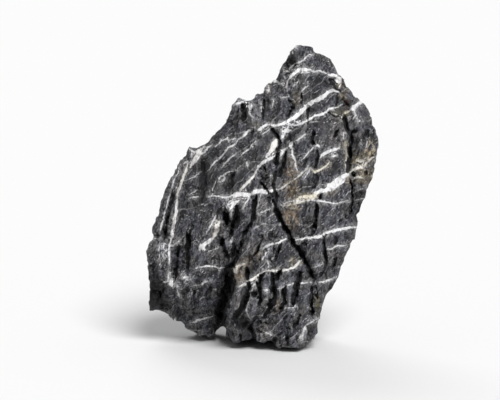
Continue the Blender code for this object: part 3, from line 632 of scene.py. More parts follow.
# Calcite veins of the front: width, how creamy they are, and the route.
VEINS = [
    # the peak
    (3, 0, [(288, 80), (290.4, 77), (294, 73.7), (298, 70.2), (303, 69.2), (311, 70)]),
    (1.6, 0, [(311, 70), (314, 72), (318.4, 70.4), (323, 72), (328, 74.4)]),
    (3, 0, [(329, 75), (333, 74.8), (338, 76)]),
    (1.4, 0, [(301, 73), (310, 72.3)]),
    (1.6, 0, [(287.6, 81), (286.6, 87), (287.4, 92)]),
    (1.4, 0, [(292.8, 51), (292.4, 54)]),
    (1.8, 0, [(294, 47.8), (297, 46.6)]),
    (1.8, 0.3, [(285.6, 71), (289, 72)]),
    (1.2, 0, [(284, 75), (284.6, 78.4)]),
    (2.8, 0, [(273, 81.4), (277, 82), (281, 84)]),
    (0.8, 0, [(293, 88), (295, 84), (298.6, 81)]),
    (1.5, 0, [(290, 68), (294.6, 64), (300, 62), (303.7, 59.7), (306, 57.6), (309.3, 54.5), (312, 55)]),
    (1.3, 0, [(301, 92), (303.7, 88.4), (307, 87), (309.7, 84.2)]),
    (7, 0.1, [(339, 78), (339.5, 82)]),
    (4.5, 0.5, [(338.5, 82), (339.5, 86)]),
    (1.8, 0.4, [(334, 113.5), (337.4, 115.5)]),
    (1.2, 0.4, [(341.6, 116), (341.6, 118)]),
    (2.2, 0.8, [(344, 113.5), (349, 111)]),
    (1.8, 0.1, [(268.6, 85), (269, 89), (267.6, 93)]),
    (1, 0, [(265.4, 85), (264.6, 91)]),
    (4.6, 0, [(250.6, 104.4), (250.4, 109.6)]),
    (2.2, 0, [(249, 113), (252, 117)]),
    # the two strong veins across the upper slab
    (3.9, 0, [(338, 92), (333, 90), (329, 92), (325, 95), (322.5, 97.5), (317, 99.6), (312, 102.4),
              (307, 106), (303, 109.5), (299.5, 113), (294.6, 117), (289, 120.6), (283.4, 123.4),
              (276.4, 125.5), (271.5, 125)]),
    (2.2, 0, [(342, 104), (338, 107), (334, 108), (329.6, 108.7), (327, 111.5), (322, 114.3),
              (316, 115.4), (311, 118), (306.5, 121), (302, 123.4), (297.4, 125.2), (288, 125.4)]),
    (4.1, 0, [(350, 110), (356, 106), (362, 101)]),
    (0.9, 0, [(354, 111), (356, 115), (354.4, 117), (352.4, 119.6)]),
    (1.4, 0, [(358.6, 121), (360.4, 120.6)]),
    (1.2, 0.1, [(343.5, 132), (343.6, 140)]),
    (1, 0.4, [(346, 145), (346.8, 155), (345.5, 165), (345.8, 171)]),
    (2, 0.4, [(354.5, 178), (358.5, 176.6), (362.5, 178)]),
    (1.6, 0.3, [(357.6, 161), (361, 162), (364, 160.4)]),
    (1, 0, [(272, 99), (274, 101), (272, 107.5)]),
    (0.8, 0, [(280.6, 97.5), (289, 96.8)]),
    (2.4, 0, [(234.7, 104.3), (241, 102.5), (248, 101)]),
    (0.9, 0, [(261, 103), (262, 115)]),
    # from the head of the long crack down to the left
    (2.8, 0, [(267.3, 124.5), (263, 127), (258, 130.5)]),
    (2.8, 0, [(252, 130), (248.7, 130.5), (245, 134), (242.4, 137.5)]),
    (1.6, 0, [(242.4, 137.5), (238, 139.6), (236, 143), (232.6, 146), (228.4, 147.3), (225.3, 151),
              (222.8, 155), (219.3, 158), (215, 162), (211, 166.6), (208, 171)]),
    (1.7, 0, [(215, 146.6), (218.6, 144), (221.4, 140.7), (225, 139.6), (227.4, 137.5), (229, 142)]),
    (1.6, 0, [(230.5, 139.6), (235.4, 138.6)]),
    (1, 0, [(270, 129), (266, 132), (261.4, 134.6)]),
    (1.6, 0, [(255.7, 140.7), (252, 144.5), (250, 148.4), (244.5, 152), (241, 155.4)]),
    (1, 0, [(256.4, 143), (251.5, 148)]),
    (1.6, 0, [(238, 151.5), (234.7, 155), (230.5, 158), (226.3, 161.7), (223.5, 165.5), (220.7, 169)]),
    (1.5, 0, [(213, 144.5), (209, 147), (205, 151.5), (200, 156)]),
    (3.2, 0.1, [(201, 148), (197, 154), (193.5, 160), (190.5, 167)]),
    (2.4, 0.1, [(204, 146), (200.5, 152), (198, 158), (194, 164)]),
    (2.2, 0, [(189, 149), (194, 152), (200, 151)]),
    (1.6, 0.1, [(192, 153), (191, 158)]),
    (1.5, 0, [(189, 160.6), (183, 164)]),
    (1.1, 0, [(202, 171), (198, 174), (194, 177), (191, 178)]),
    (0.7, 0, [(191, 178), (185, 181)]),
    (1.3, 0, [(237, 170), (230.5, 171.5), (225.6, 173.6), (223, 176)]),
    (1.2, 0, [(219, 182), (219, 178.6), (221, 176), (224.4, 176.4), (225.6, 178.6), (223.4, 181),
              (220.6, 182.4)]),
    (1, 0, [(216, 181), (214, 186), (212, 191)]),
    (2.2, 0, [(247, 162), (247.4, 166)]),
    (0.9, 0, [(197, 190), (189, 195)]),
    # patches beside the long crack
    (5.5, 0.2, [(276, 140), (273.5, 147), (269.5, 153)]),
    (1.6, 0, [(269, 153), (265, 158)]),
    (1.8, 0, [(313, 146), (317, 145), (320, 147)]),
    (2.4, 0, [(337, 155), (332, 156.5)]),
    (1, 0, [(309, 166), (305, 170), (301, 173)]),
    (4, 0, [(283, 131.5), (290, 130.5)]),
    (3, 0, [(284, 135), (280, 139)]),
    (1.6, 0, [(306, 134), (302, 137), (295.7, 141)]),
    (3.2, 0, [(292, 142), (290, 147)]),
    (3.4, 0, [(285, 149), (282.4, 152), (280, 155.6)]),
    (1.8, 0, [(292, 147.5), (292, 155), (295, 159), (295, 165), (297, 170)]),
    (1.3, 0, [(316.7, 145), (309.7, 151), (305, 156.6), (300.6, 161.5)]),
    (1.4, 0.3, [(310, 168), (303.4, 172), (298, 177), (292, 181)]),
    (1.5, 0, [(310, 170), (307, 174), (304, 179)]),
    (1.6, 0.3, [(292, 181), (286, 185), (282, 188), (277, 190)]),
    # right half
    (3, 0, [(339, 148), (334, 150), (328, 152), (323, 154.5), (320, 158)]),
    (2, 0.6, [(330, 162), (326, 166), (321.6, 169), (315, 172.4), (312, 169)]),
    (7.6, 0, [(347, 174.5), (341.5, 179), (336, 183.5), (330, 187.5), (325, 191)]),
    (4, 0, [(325, 190), (320, 191.5), (316, 192)]),
    (2.8, 0.7, [(321, 192), (316, 195), (309, 196.5), (304, 196.5), (299, 198), (295, 200)]),
    (1.5, 0.7, [(318, 197), (308, 199.5), (298, 203), (288, 206)]),
    (1.3, 0, [(348, 200.5), (343, 202), (337, 203.5), (330, 203), (324, 201.4), (312, 200),
              (302, 201), (291.5, 201.4), (286, 203), (282, 205)]),
    (2.4, 0.4, [(376, 156), (371, 159), (367.5, 162), (364.5, 165.4), (362, 167.6), (358, 167.6),
                (354, 169.6), (350, 173)]),
    (0.8, 0, [(360.6, 140), (363, 139)]),
    (0.8, 0, [(360, 143), (362.4, 146)]),
    (0.8, 0, [(366, 139), (367, 144), (366, 148)]),
    (1, 0, [(366, 187), (358, 190.5)]),
    (1, 0, [(365, 198), (355, 200.5)]),
    (2.7, 0, [(357, 227), (350, 227.5), (343, 229), (337, 230), (330, 232), (325, 233), (322, 236),
              (316, 237), (305, 238.5), (299, 239.5), (296, 240)]),
    (2, 0, [(290, 240), (286, 239), (283, 240), (279, 243), (270, 244.5), (266, 246), (262, 250)]),
    (1.5, 0, [(346, 245), (342, 246), (338, 245.5), (335, 247), (331, 249), (327, 249)]),
    (1, 0, [(322, 264), (318, 266), (313, 267.5)]),
    (1.9, 0, [(337, 277), (333, 278.5), (328, 280.5), (323, 282), (318, 282)]),
    (1.3, 0, [(312, 282), (307, 283), (294, 283.5), (287, 285.5), (281, 288), (277, 289)]),
    # across the lower half
    (2.3, 0.2, [(303, 258), (300, 261), (297, 265), (293, 268), (288, 270), (283, 270.5), (274, 271),
                (268, 270.5), (264, 272)]),
    (2.8, 0.2, [(264, 272), (260, 274), (256, 277), (251, 280), (247, 282), (244, 285), (238, 287)]),
    (1.5, 0, [(269, 251), (266, 253), (265, 256), (262, 260)]),
    (1.8, 0, [(268, 262), (269, 268)]),
    (1.3, 0, [(319, 318), (315, 320), (311, 322.5), (307, 325), (304.5, 328), (303, 333), (300, 338),
              (296.5, 341)]),
    (2.2, 0, [(306, 325.5), (304.5, 330)]),
    (1.8, 0, [(302.5, 334), (299, 339)]),
    (0.8, 0, [(308, 329), (304, 335), (302, 341)]),
    (1.3, 0, [(265, 333), (268, 333), (272, 336)]),
    (0.9, 0, [(283, 309), (290, 307), (297, 306)]),
    (7, 0.5, [(233.4, 269.4), (236, 272)]),
    (2, 0.5, [(237, 266), (241, 265), (245, 264)]),
    (1.5, 0, [(257.5, 281), (253.5, 285), (251.5, 290), (250.5, 296)]),
    (1, 0, [(250.5, 296), (249, 301), (247, 305), (246.4, 310), (248, 316), (250.5, 319)]),
    (1.6, 0, [(263, 290), (269, 290)]),
    (1, 0, [(282, 310), (287, 308), (293, 307.5), (296, 305)]),
    (0.9, 0, [(273, 207), (267, 210), (263, 212), (258, 214)]),
    (0.9, 0, [(266, 223), (261, 225), (257, 227)]),
    # the bright crossing left of the long crack
    (2.6, 0, [(275.3, 155.7), (271, 158), (267, 160.3), (262.7, 163), (259, 166), (256.4, 171)]),
    (2.4, 0.2, [(256.4, 171), (253.6, 176), (249.4, 181), (245, 185), (241, 189), (238, 193)]),
    (4.4, 0, [(274, 190), (267, 192), (262.8, 191), (256.5, 191), (251.6, 194.4)]),
    (4.4, 0, [(251.6, 194.4), (245, 195), (240, 194), (232, 195.5)]),
    (1.7, 0, [(233, 195), (228.7, 197.3), (223, 197.3), (218.7, 196.3), (212.7, 196), (208, 197.3)]),
    (1.5, 0, [(198, 196.7), (193, 197.3), (189, 198.7)]),
    (3.6, 0, [(239, 201), (233, 204), (231, 210), (230.7, 217)]),
    (1.6, 0, [(250, 197), (246, 202), (243, 209)]),
    (1.4, 0, [(236, 197), (229, 202), (226, 208)]),
    (1.2, 0, [(262, 193), (259, 199), (258, 205)]),
    (1.5, 0, [(216, 215), (214, 220), (211, 225), (207, 232)]),
    (4.5, 0.3, [(219, 222), (216.5, 230), (213.5, 237.5)]),
    (4, 0, [(213, 238), (208, 242), (204, 245), (199, 249.5)]),
    (6, 0, [(203, 245), (200, 249)]),
    (0.8, 0, [(219, 247.4), (213, 250), (207, 252)]),
    (3, 0, [(232, 237), (231, 243)]),
    # the left side
    (2.5, 0.25, [(188, 162), (186.7, 169), (184, 175), (182, 181), (180, 187), (178, 191),
                (176.7, 197), (176.7, 202)]),
    (3, 0.1, [(176.7, 202), (176.3, 208), (175.7, 213), (174.3, 220), (173.3, 226), (172, 231),
              (172, 237), (170.4, 242)]),
    (1.7, 0, [(170.4, 241), (169, 249), (169, 257), (169.8, 265)]),
    (0.9, 0, [(159.6, 240), (159, 250), (160, 260), (159.4, 269)]),
    (1.4, 0, [(163.6, 244), (163.4, 250)]),
    (1.2, 0, [(163.8, 253), (163.4, 258)]),
    (4.6, 0, [(169.6, 273), (169.4, 279), (171.6, 286)]),
    (1.4, 0, [(165, 283), (170, 280), (175, 279)]),
    (1.2, 0, [(178, 284), (177, 290), (180, 298)]),
    (1.6, 0, [(163, 282), (168, 281.6)]),
    (1, 0, [(153, 238), (158, 239)]),
    (1.5, 0, [(179.3, 167), (178, 173), (174, 179), (172.7, 185), (170.7, 191), (168.7, 198),
              (166.3, 207), (164, 215), (162, 223), (160, 232), (160, 240)]),
    (1.6, 0, [(194, 269), (200, 267), (206, 266), (212, 266.5), (219, 268), (226, 267.5)]),
    (1.5, 0, [(180, 241), (176, 243), (173, 246)]),
    (1, 0, [(163, 243), (168, 245)]),
    (1, 0, [(165, 252), (169, 248)]),
    (1.3, 0, [(209, 281), (205, 282), (202, 284), (199, 285), (193, 285), (189, 287)]),
    (2.4, 0, [(206, 281.4), (201, 284.6)]),
    (1.3, 0, [(190, 323), (195, 322), (200, 320), (206, 318), (214, 316)]),
    (2.2, 0, [(196, 320.6), (202, 319)]),
    (2, 0, [(183, 278), (187, 276.4), (190, 277)]),
    (1.4, 0, [(186, 280), (191, 279)]),
    (1.4, 0, [(176, 285), (178, 282)]),
]

# Iron stains: place, reach each way, and how strong the ochre, rust and olive are.
STAINS = [
    (370, 150, 6, 14, 1.0, 0.1, 0.1), (363, 160, 11, 7, 1.0, 0, 0.1), (354, 162, 6, 12, 0.9, 0.1, 0.2),
    (364, 176, 12, 10, 0.9, 0.3, 0.3), (344, 96, 5, 7, 0.6, 0, 0), (349, 178, 5, 8, 0.8, 0.4, 0.3),
    (346, 104, 3, 6, 0.2, 1.0, 0), (339, 112, 8, 5, 0.4, 0, 0.5), (291, 180, 8, 24, 0.9, 0.4, 0),
    (291, 216, 10, 20, 0.6, 0.3, 0), (238, 275, 9, 12, 0.8, 0.2, 0), (256, 124, 5, 6, 0.3, 0, 0.3),
    (317.6, 304, 2.4, 14, 0.3, 0, 0.9), (295, 263, 8, 6, 0.7, 0, 0.5), (345, 150, 4, 14, 0.5, 0, 0.4),
    (262, 330, 12, 10, 0.12, 0.05, 0), (330, 190, 10, 8, 0.3, 0, 0), (258, 255, 8, 8, 0.3, 0.1, 0),
    (277, 306, 5, 8, 0.5, 0.3, 0), (303, 197, 12, 5, 0.5, 0, 0.3), (267, 88, 5, 7, 0.15, 0, 0.2),
    (297, 99, 5, 9, 0.4, 0.1, 0.2), (224, 150, 9, 8, 0.1, 0, 0), (246, 262, 6, 10, 0.5, 0.2, 0),
]

# Spots of painted shade, darkened where the stone lies in shade: place, reach each way, and how dark.
PAINTED_SHADE_SPOTS = [
    (166, 300, 24, 20, 0.4), (190, 316, 30, 14, 0.4), (153, 294, 15, 26, 1.2), (204, 300, 20, 22, 0.15),
    (243, 322, 10, 12, 0.9), (275, 341, 5, 5, 0.8), (209, 292, 7, 10, 0.5), (213, 322, 8, 12, 0.8),
    (246.5, 333, 6, 8, 0.9), (247, 274, 3.5, 8, 0.5), (245, 112, 5, 11, 0.6), (226, 217, 5, 11, 0.5),
    (222, 246, 5, 12, 0.4), (248, 334, 5, 6, 0.6), (160, 230, 8, 26, 0.3), (155, 262, 8, 26, 0.3),
    (202.5, 186, 4.6, 15, 0.85), (202, 165, 3, 10, 0.4), (220, 163, 2.6, 8, 0.7), (227, 181, 6, 12, 0.6),
    (337, 99, 3, 8, 0.4), (361, 146, 8, 13, 0.5), (212, 162, 38, 44, 0.66), (186, 196, 30, 40, 0.52),
    (240, 150, 40, 30, 0.5), (361, 204, 14, 22, 0.72), (163, 208, 11, 15, 0.55), (210, 206, 14, 9, 0.35),
    (342, 107, 13, 12, 0.75), (290, 58, 11, 13, 0.75), (315, 82, 14, 12, 0.55), (210, 182, 12, 12, 0.8),
    (238, 180, 12, 13, 0.55), (186, 182, 10, 13, 0.7), (268, 108, 7, 12, 0.45), (333, 281, 8, 10, 0.35),
    (311, 330, 8, 11, 0.6), (160, 298, 13, 18, 1.0), (290, 232, 10, 10, 0.5), (316, 157, 13, 13, 0.6),
    (264, 136, 10, 7, 0.45), (314, 104, 12, 12, 0.6), (290, 136, 10, 8, 0.4), (300, 182, 22, 12, 0.35),
    (364, 184, 10, 12, 0.35), (222, 298, 6, 34, 0.9), (295, 160, 30, 40, 0.15), (305, 222, 10, 12, 0.3),
    (276, 110, 9, 14, 0.3), (312, 276, 22, 12, 0.25), (286, 254, 14, 13, 0.4), (316, 96, 26, 20, 0.4),
]

# Pale places, partly worn with fine dust and partly painted light on flanks that lie in shade: place, reach
# each way, and how pale.
DUST_AND_PAINTED_LIGHT = [
    (238, 296, 7, 16, 1.0), (229, 323, 4, 7, 1.2), (236, 331, 7, 7, 0.9), (304, 330, 6, 10, 0.3),
    (238, 106, 7, 9, 1.3), (232, 305, 5, 20, 1.0), (239, 278, 7, 8, 1.2), (240, 205, 11, 9, 1.0),
    (262, 206, 9, 9, 0.5), (180, 258, 7, 12, 0.5), (229, 246, 4, 12, 1.0), (260, 328, 12, 10, 0.8),
    (188, 325, 9, 5, 0.9), (334, 152, 9, 7, 0.5), (246, 252, 6, 12, 0.5), (203, 331, 6, 7, 0.9),
    (188, 314, 4, 12, 0.8), (186, 277, 9, 5, 0.6), (166, 250, 6, 8, 0.7), (257, 304, 8, 13, 0.7),
    (270, 296, 6, 14, 0.6), (254, 235, 13, 24, 0.6), (335, 250, 12, 16, 0.75), (258, 336, 8, 6, 0.8),
    (285, 297, 5, 12, 0.3), (300, 180, 12, 16, 0.3), (335, 135, 14, 16, 0.3), (262, 252, 8, 11, 0.8),
    (295, 200, 14, 8, 0.5), (253, 114, 9, 17, 1.6), (242, 124, 6, 8, 0.7), (276, 83, 6, 4, 0.8),
    (286, 66, 5, 14, 0.25), (365, 105, 9, 9, 0.5), (214, 232, 7, 14, 0.6), (269, 205, 8, 10, 0.3),
    (193, 155, 12, 7, 0.6), (280, 298, 4, 18, 0.6), (289, 296, 5, 22, 0.6), (304, 298, 6, 22, 0.5),
    (267, 292, 4, 18, 0.5), (241, 268, 9, 9, 0.9), (254, 288, 3, 9, 1.0), (242, 280, 6, 8, 0.5),
    (277, 322, 16, 14, 0.2), (348, 92, 5, 6, 0.5), (364, 118, 8, 14, 0.5), (302, 312, 8, 10, 0.4),
]


def keep_on_points(mesh, name, values):
    """Keeps a number, or three, on each point of a mesh, for its material."""
    kind, field = ("FLOAT_VECTOR", "vector") if values.ndim == 2 else ("FLOAT", "value")
    layer = mesh.attributes.new(name, kind, "POINT")
    layer.data.foreach_set(field, values.astype(np.float32).ravel())


def spread(spots, places):
    """The strongest of some soft oval spots at each place."""
    strongest = np.zeros((len(places), len(spots[0]) - 4))
    for right, down, reach_right, reach_down, *strengths in spots:
        reach = np.hypot((places[:, 0] - right) / reach_right, (places[:, 1] - down) / reach_down)
        fade = 1 - smooth_between(0.3, 1.2, reach)
        strongest = np.maximum(strongest, fade[:, None] * strengths)
    return strongest


points = points_of(stone.data)
normals = normals_of(stone.data)
places = to_picture(points)
wander = wander_at(places)
front = 1 - smooth_between(4, FRONT_DEPTH, points[:, 1] / UNIT)
FAR_FROM_ANY = 8.0
vein_gap = np.full(len(points), FAR_FROM_ANY)
vein_way = np.full((len(points), 3), FAR_FROM_ANY)
vein_cream = np.zeros(len(points))
for width, cream, route in VEINS:
    near, way, share = from_route(route, places, 10)
    half = width / 2 * (0.5 + 0.5 * tapered(share, 0.25))
    gap = np.linalg.norm(way, axis=1) - half
    closer = gap < vein_gap[near]
    chosen = near[closer]
    vein_gap[chosen] = gap[closer]
    vein_way[chosen] = np.column_stack([way[closer], half[closer]])
    vein_cream[chosen] = cream
crack_gap = np.full(len(points), FAR_FROM_ANY)
for width, depth, route in CRACKS:
    if depth > 4:
        near, way, share = from_route(route, places + wander, FAR_FROM_ANY)
        half = crack_half(width, share, wander[near]) - 0.3
        crack_gap[near] = np.minimum(crack_gap[near], np.linalg.norm(way, axis=1) - half)
for right, down, radius, depth in PITS:
    away = np.linalg.norm(places + wander - (right, down), axis=1)
    crack_gap = np.minimum(crack_gap, away - radius + 0.7)
crack_seen = front * smooth_between(-0.5, 0, normals @ -SIGHT)
crack_gap = FAR_FROM_ANY - (FAR_FROM_ANY - crack_gap) * crack_seen
hollow = np.sum((evened(stone.data, points, 8) - points) * normals, axis=1) / UNIT
basin = np.sum((evened(stone.data, points, 50) - points) * normals, axis=1) / UNIT
keep_on_points(stone.data, "vein_way", vein_way)
keep_on_points(stone.data, "vein_gap", vein_gap)
keep_on_points(stone.data, "vein_cream", vein_cream)
keep_on_points(stone.data, "crack_gap", crack_gap)
keep_on_points(stone.data, "slot_depth", far_slot_depth(points / UNIT))
keep_on_points(stone.data, "stain", spread(STAINS, places + wander * 2) * front[:, None])
# the spots of painted shade, kept for the material
keep_on_points(stone.data, "painted_shade", spread(PAINTED_SHADE_SPOTS, places + wander * 2)[:, 0] * front)
# pale spots, partly real dust and partly painted light on shaded flanks, kept for the material
keep_on_points(stone.data, "dust_and_painted_light", spread(DUST_AND_PAINTED_LIGHT, places + wander * 2)[:, 0] * front)
keep_on_points(stone.data, "hollow", hollow)
keep_on_points(stone.data, "basin", basin)
keep_on_points(stone.data, "front", front)
keep_on_points(stone.data, "even", smooth_face_at(places) * front)

# The rock is fine dark limestone, mottled grey and dusty on its worn edges. Shade is painted near-black
# into its cracks, hollows and nicks and onto some spots, and painted light onto some flanks. Its colours
# are linear red, green and blue.
DARK_ROCK = (0.026, 0.026, 0.031, 1)
MID_ROCK = (0.078, 0.078, 0.086, 1)
PALE_ROCK = (0.21, 0.21, 0.22, 1)
# near-black painted shade, for cracks, hollows, shade spots and nicks
SHADE_BLACK = (0.006, 0.006, 0.007, 1)
CALCITE = (0.92, 0.91, 0.92, 1)
CREAM_CALCITE = (0.78, 0.70, 0.50, 1)
OCHRE = (0.52, 0.45, 0.31, 1)
BROWN = (0.10, 0.075, 0.05, 1)
RUST = (0.13, 0.055, 0.035, 1)
OLIVE = (0.11, 0.11, 0.045, 1)
COOL_TINT = (0.93, 0.95, 1.03, 1)
WARM_TINT = (1.03, 0.98, 0.93, 1)

rock = bpy.data.materials.new("calcite_veined_limestone")
rock.use_nodes = True
surface = rock.node_tree.nodes["Principled BSDF"]
surface.inputs["Specular IOR Level"].default_value = 0.35


class Strand:
    """A shader socket that Python's own signs work on."""

    def __init__(self, socket):
        self.socket = socket

    def __add__(self, other):
        return maths("ADD", self, other)

    def __sub__(self, other):
        return maths("SUBTRACT", self, other)

    def __mul__(self, other):
        return maths("MULTIPLY", self, other)

    def __radd__(self, other):
        return maths("ADD", other, self)

    def __rsub__(self, other):
        return maths("SUBTRACT", other, self)

    def __rmul__(self, other):
        return maths("MULTIPLY", other, self)


def rock_node(kind, settings, sockets):
    """A node of the rock with its settings, and then the values or links of its sockets."""
    made = rock.node_tree.nodes.new(kind)
    for name, value in settings.items():
        setattr(made, name, value)
    for name, value in sockets.items():
        if isinstance(value, Strand):
            rock.node_tree.links.new(value.socket, made.inputs[name])
        else:
            made.inputs[name].default_value = value
    return made


def maths(operation, *values):
    made = rock_node("ShaderNodeMath", {"operation": operation}, dict(enumerate(values)))
    return Strand(made.outputs[0])


VECTOR_SOCKETS = {"first": 0, "second": 1, "scale": "Scale"}


def vector_maths(operation, output, **values):
    sockets = {VECTOR_SOCKETS[name]: value for name, value in values.items()}
    made = rock_node("ShaderNodeVectorMath", {"operation": operation}, sockets)
    return Strand(made.outputs[output])


def rise(low, high, value):
    """0 below low and 1 above high, with a soft change between."""
    ends = {"Value": value, "From Min": low, "From Max": high}
    return Strand(rock_node("ShaderNodeMapRange", {"interpolation_type": "SMOOTHSTEP"}, ends).outputs[0])


def mixed(share, first, second):
    """A colour that goes from the first to the second as the share rises."""
    sockets = {0: share, 6: first, 7: second}
    return Strand(rock_node("ShaderNodeMix", {"data_type": "RGBA"}, sockets).outputs[2])


def kept(name, output="Fac"):
    """What the mesh keeps on its points under this name."""
    return Strand(rock_node("ShaderNodeAttribute", {"attribute_name": name}, {}).outputs[output])


def parts_of(vector):
    """The three numbers of a vector or colour."""
    made = rock_node("ShaderNodeSeparateXYZ", {}, {0: vector})
    return [Strand(output) for output in made.outputs]


def cloud(vector, detail=2.0, roughness=0.5, output=0):
    """Soft noise about one unit across, mostly between 0.3 and 0.7. Output 1 gives three of them."""
    sockets = {"Vector": vector, "Scale": 1.0, "Detail": detail, "Roughness": roughness}
    return Strand(rock_node("ShaderNodeTexNoise", {}, sockets).outputs[output])


here = Strand(rock_node("ShaderNodeTexCoord", {}, {}).outputs["Object"])
here = vector_maths("SCALE", 0, first=here, scale=1 / UNIT)


def scaled(size):
    return vector_maths("SCALE", 0, first=here, scale=1 / size)


def level(direction):
    """How far along a direction a place is."""
    return vector_maths("DOT_PRODUCT", "Value", first=here, second=tuple(direction))


def bedded_by(across, through, up):
    """Place in the beds, measured by these sizes."""
    sides = {0: level(bed_across / across), 1: level(bed_through / through), 2: level(bed_up / up)}
    return Strand(rock_node("ShaderNodeCombineXYZ", {}, sides).outputs[0])


def sheets(normal, spacing, width, keep, seed):
    """Thin sheets of calcite through the whole stone, which reach its surface as broken wavy lines."""
    normal = np.array(normal) / np.linalg.norm(normal)
    bend = cloud(vector_maths("ADD", 0, first=scaled(40), second=(seed, seed, seed)), 5.0, 0.55)
    place = level(normal / spacing) + bend * (22 / spacing) + seed
    row = maths("FLOOR", place)
    gap = maths("ABSOLUTE", place - row - 0.5) * spacing
    luck = Strand(rock_node("ShaderNodeTexWhiteNoise", {"noise_dimensions": "1D"}, {"W": row}).outputs[0])
    patch = cloud(vector_maths("ADD", 0, first=scaled(22), second=(seed, 0, -seed)), 1.0)
    here_kept = rise(keep, keep + 0.06, patch * 0.75 + luck * 0.25)
    edge = gap - width * (0.05 + 0.8 * small) + ragged * 0.4 + (speck - 0.5) * 2.4
    return (1 - rise(-0.2, 0.3, edge)) * here_kept


fine = cloud(scaled(2.1), 2.5, 0.65)
speck = cloud(bedded_by(1.3, 2.2, 3.6), 1.5, 0.65)
small = cloud(scaled(4.5), 3.0, 0.6)
ragged = cloud(scaled(2.6), 2.0) * 2 - 1
beds = cloud(bedded_by(6, 14, 34), 4.0, 0.6)
streaks = cloud(bedded_by(1.8, 5, 13), 3.0, 0.6)
is_front = kept("front")
hollow_here = kept("hollow")
basin_here = kept("basin")

# drawn veins: their edges are ragged, and they thin out in places
way_right, way_down, half_width = parts_of(kept("vein_way", "Vector"))
bend_right, bend_down = parts_of(cloud(scaled(3.4), 4.0, 0.6, output=1))[:2]
off_right = way_right + (bend_right - 0.5) * 2.3
off_down = way_down + (bend_down - 0.5) * 2.3
off = maths("SQRT", off_right * off_right + off_down * off_down)
vein_edge = off - half_width * (0.25 + 1.5 * small) + ragged * 0.4 + (speck - 0.5) * 2.4
drawn_vein = (1 - rise(-0.2, 0.3, vein_edge)) * (1 - rise(1.6, 2.6, kept("vein_gap"))) * is_front
drawn_vein = drawn_vein * rise(0.28, 0.46, cloud(scaled(6), 3.0) + half_width * 0.06)
drawn_vein = drawn_vein * maths("MINIMUM", 0.62 + half_width * 0.3, 1)

# veins of the back and sides, in the same three directions as on the front
far_vein = maths("MAXIMUM", sheets((-0.62, 0.35, 0.75), 34, 2.6, 0.46, 3.1),
                 sheets((-0.1, 0.3, 1), 47, 2.4, 0.47, 8.3))
far_vein = maths("MAXIMUM", far_vein, sheets((1, 0.45, -0.3), 70, 2.8, 0.44, 5.7))
far_vein = far_vein * rise(0.34, 0.5, cloud(scaled(6), 3.0)) * (1 - is_front)
hairs = maths("MAXIMUM", sheets((-0.66, 0.3, 0.7), 11, 0.5, 0.55, 1.7),
              sheets((-0.15, 0.3, 1), 16, 0.45, 0.55, 6.4))
hairs = maths("MAXIMUM", hairs, sheets((0.8, 0.2, 0.5), 21, 0.4, 0.56, 9.2) * (1 - is_front)) * 0.45
vein = maths("MAXIMUM", drawn_vein, far_vein)
haze = (1 - rise(-1, 5, kept("vein_gap"))) * is_front * rise(0.42, 0.62, fine) * 0.4

# short white flecks that lie as the veins do, and dark nicks that lie as the beds do, whose shade is
# painted near-black
FLECK_LENGTH = 4
fleck_way = {
    0: level((0.82 / FLECK_LENGTH, 0, 0.57 / FLECK_LENGTH)),
    1: level((-0.57, 0, 0.82)),
    2: level((0, 1 / FLECK_LENGTH, 0)),
}
fleck_noise = cloud(Strand(rock_node("ShaderNodeCombineXYZ", {}, fleck_way).outputs[0]), 1.0)
fleck_patch = rise(0.45, 0.62, cloud(scaled(13), 2.0))
flecks = rise(0.64, 0.7, fleck_noise) * fleck_patch
nicks = rise(0.62, 0.68, cloud(bedded_by(1.3, 2.5, 4.2), 1.5)) * rise(0.4, 0.6, cloud(scaled(10), 2.0))

# small calcite grains, in about one cell of seven
grains = rock_node("ShaderNodeTexVoronoi", {}, {"Vector": scaled(2.4), "Scale": 1.0})
grain_luck = parts_of(Strand(grains.outputs["Color"]))[0]
grain = 1 - rise(0.1, 0.3, Strand(grains.outputs["Distance"]) + ragged * 0.1)
grain = grain * rise(0.84, 0.88, grain_luck)

blotch = cloud(scaled(12), 3.0, 0.6)
tone = 0.25 * beds + 0.3 * small + 0.55 * fine + 0.1 * streaks + 0.4 * blotch - 0.37
colour = mixed(rise(0.36, 0.7, tone), DARK_ROCK, MID_ROCK)
dust_and_painted_light = cloud(scaled(3.2), 5.0, 0.65)
pale = rise(0.53, 0.7, dust_and_painted_light) * 0.45 + rise(0.15, 0.8, 0 - hollow_here) * 0.4
# the pale spots show worn dust, and also paint light onto flanks that lie in shade
pale = pale + kept("dust_and_painted_light") * rise(0.4, 0.6, dust_and_painted_light) * 0.7
pale = maths("MINIMUM", pale, 1)
colour = mixed(pale, colour, PALE_ROCK)
sandy = 1 - kept("even") * 0.7
colour = mixed(rise(0.54, 0.58, speck) * sandy * 0.5, colour, PALE_ROCK)
colour = mixed(rise(0.54, 0.58, 1 - speck) * sandy * 0.75, colour, DARK_ROCK)
warmth = rise(0.42, 0.6, cloud(scaled(17), 3.0))
colour = vector_maths("MULTIPLY", 0, first=colour, second=mixed(warmth, COOL_TINT, WARM_TINT))
ochre, rust, olive = parts_of(kept("stain", "Vector"))
far_stain = rise(0.56, 0.72, cloud(bedded_by(26, 30, 44), 5.0, 0.6)) * (1 - is_front)
stain_break = rise(0.38, 0.56, cloud(scaled(5), 5.0, 0.65))
ochre_here = mixed(rise(0.38, 0.58, dust_and_painted_light), BROWN, OCHRE)
colour = mixed((ochre + far_stain * 0.45) * stain_break, colour, ochre_here)
colour = mixed(rust * stain_break, colour, RUST)
colour = mixed(olive * rise(0.35, 0.65, streaks), colour, OLIVE)
white = maths("MAXIMUM", maths("MAXIMUM", vein, hairs), maths("MAXIMUM", haze, grain * 0.5))
white = maths("MAXIMUM", white, flecks * 0.7)
calcite = mixed(kept("vein_cream") * 0.9, CALCITE, CREAM_CALCITE)
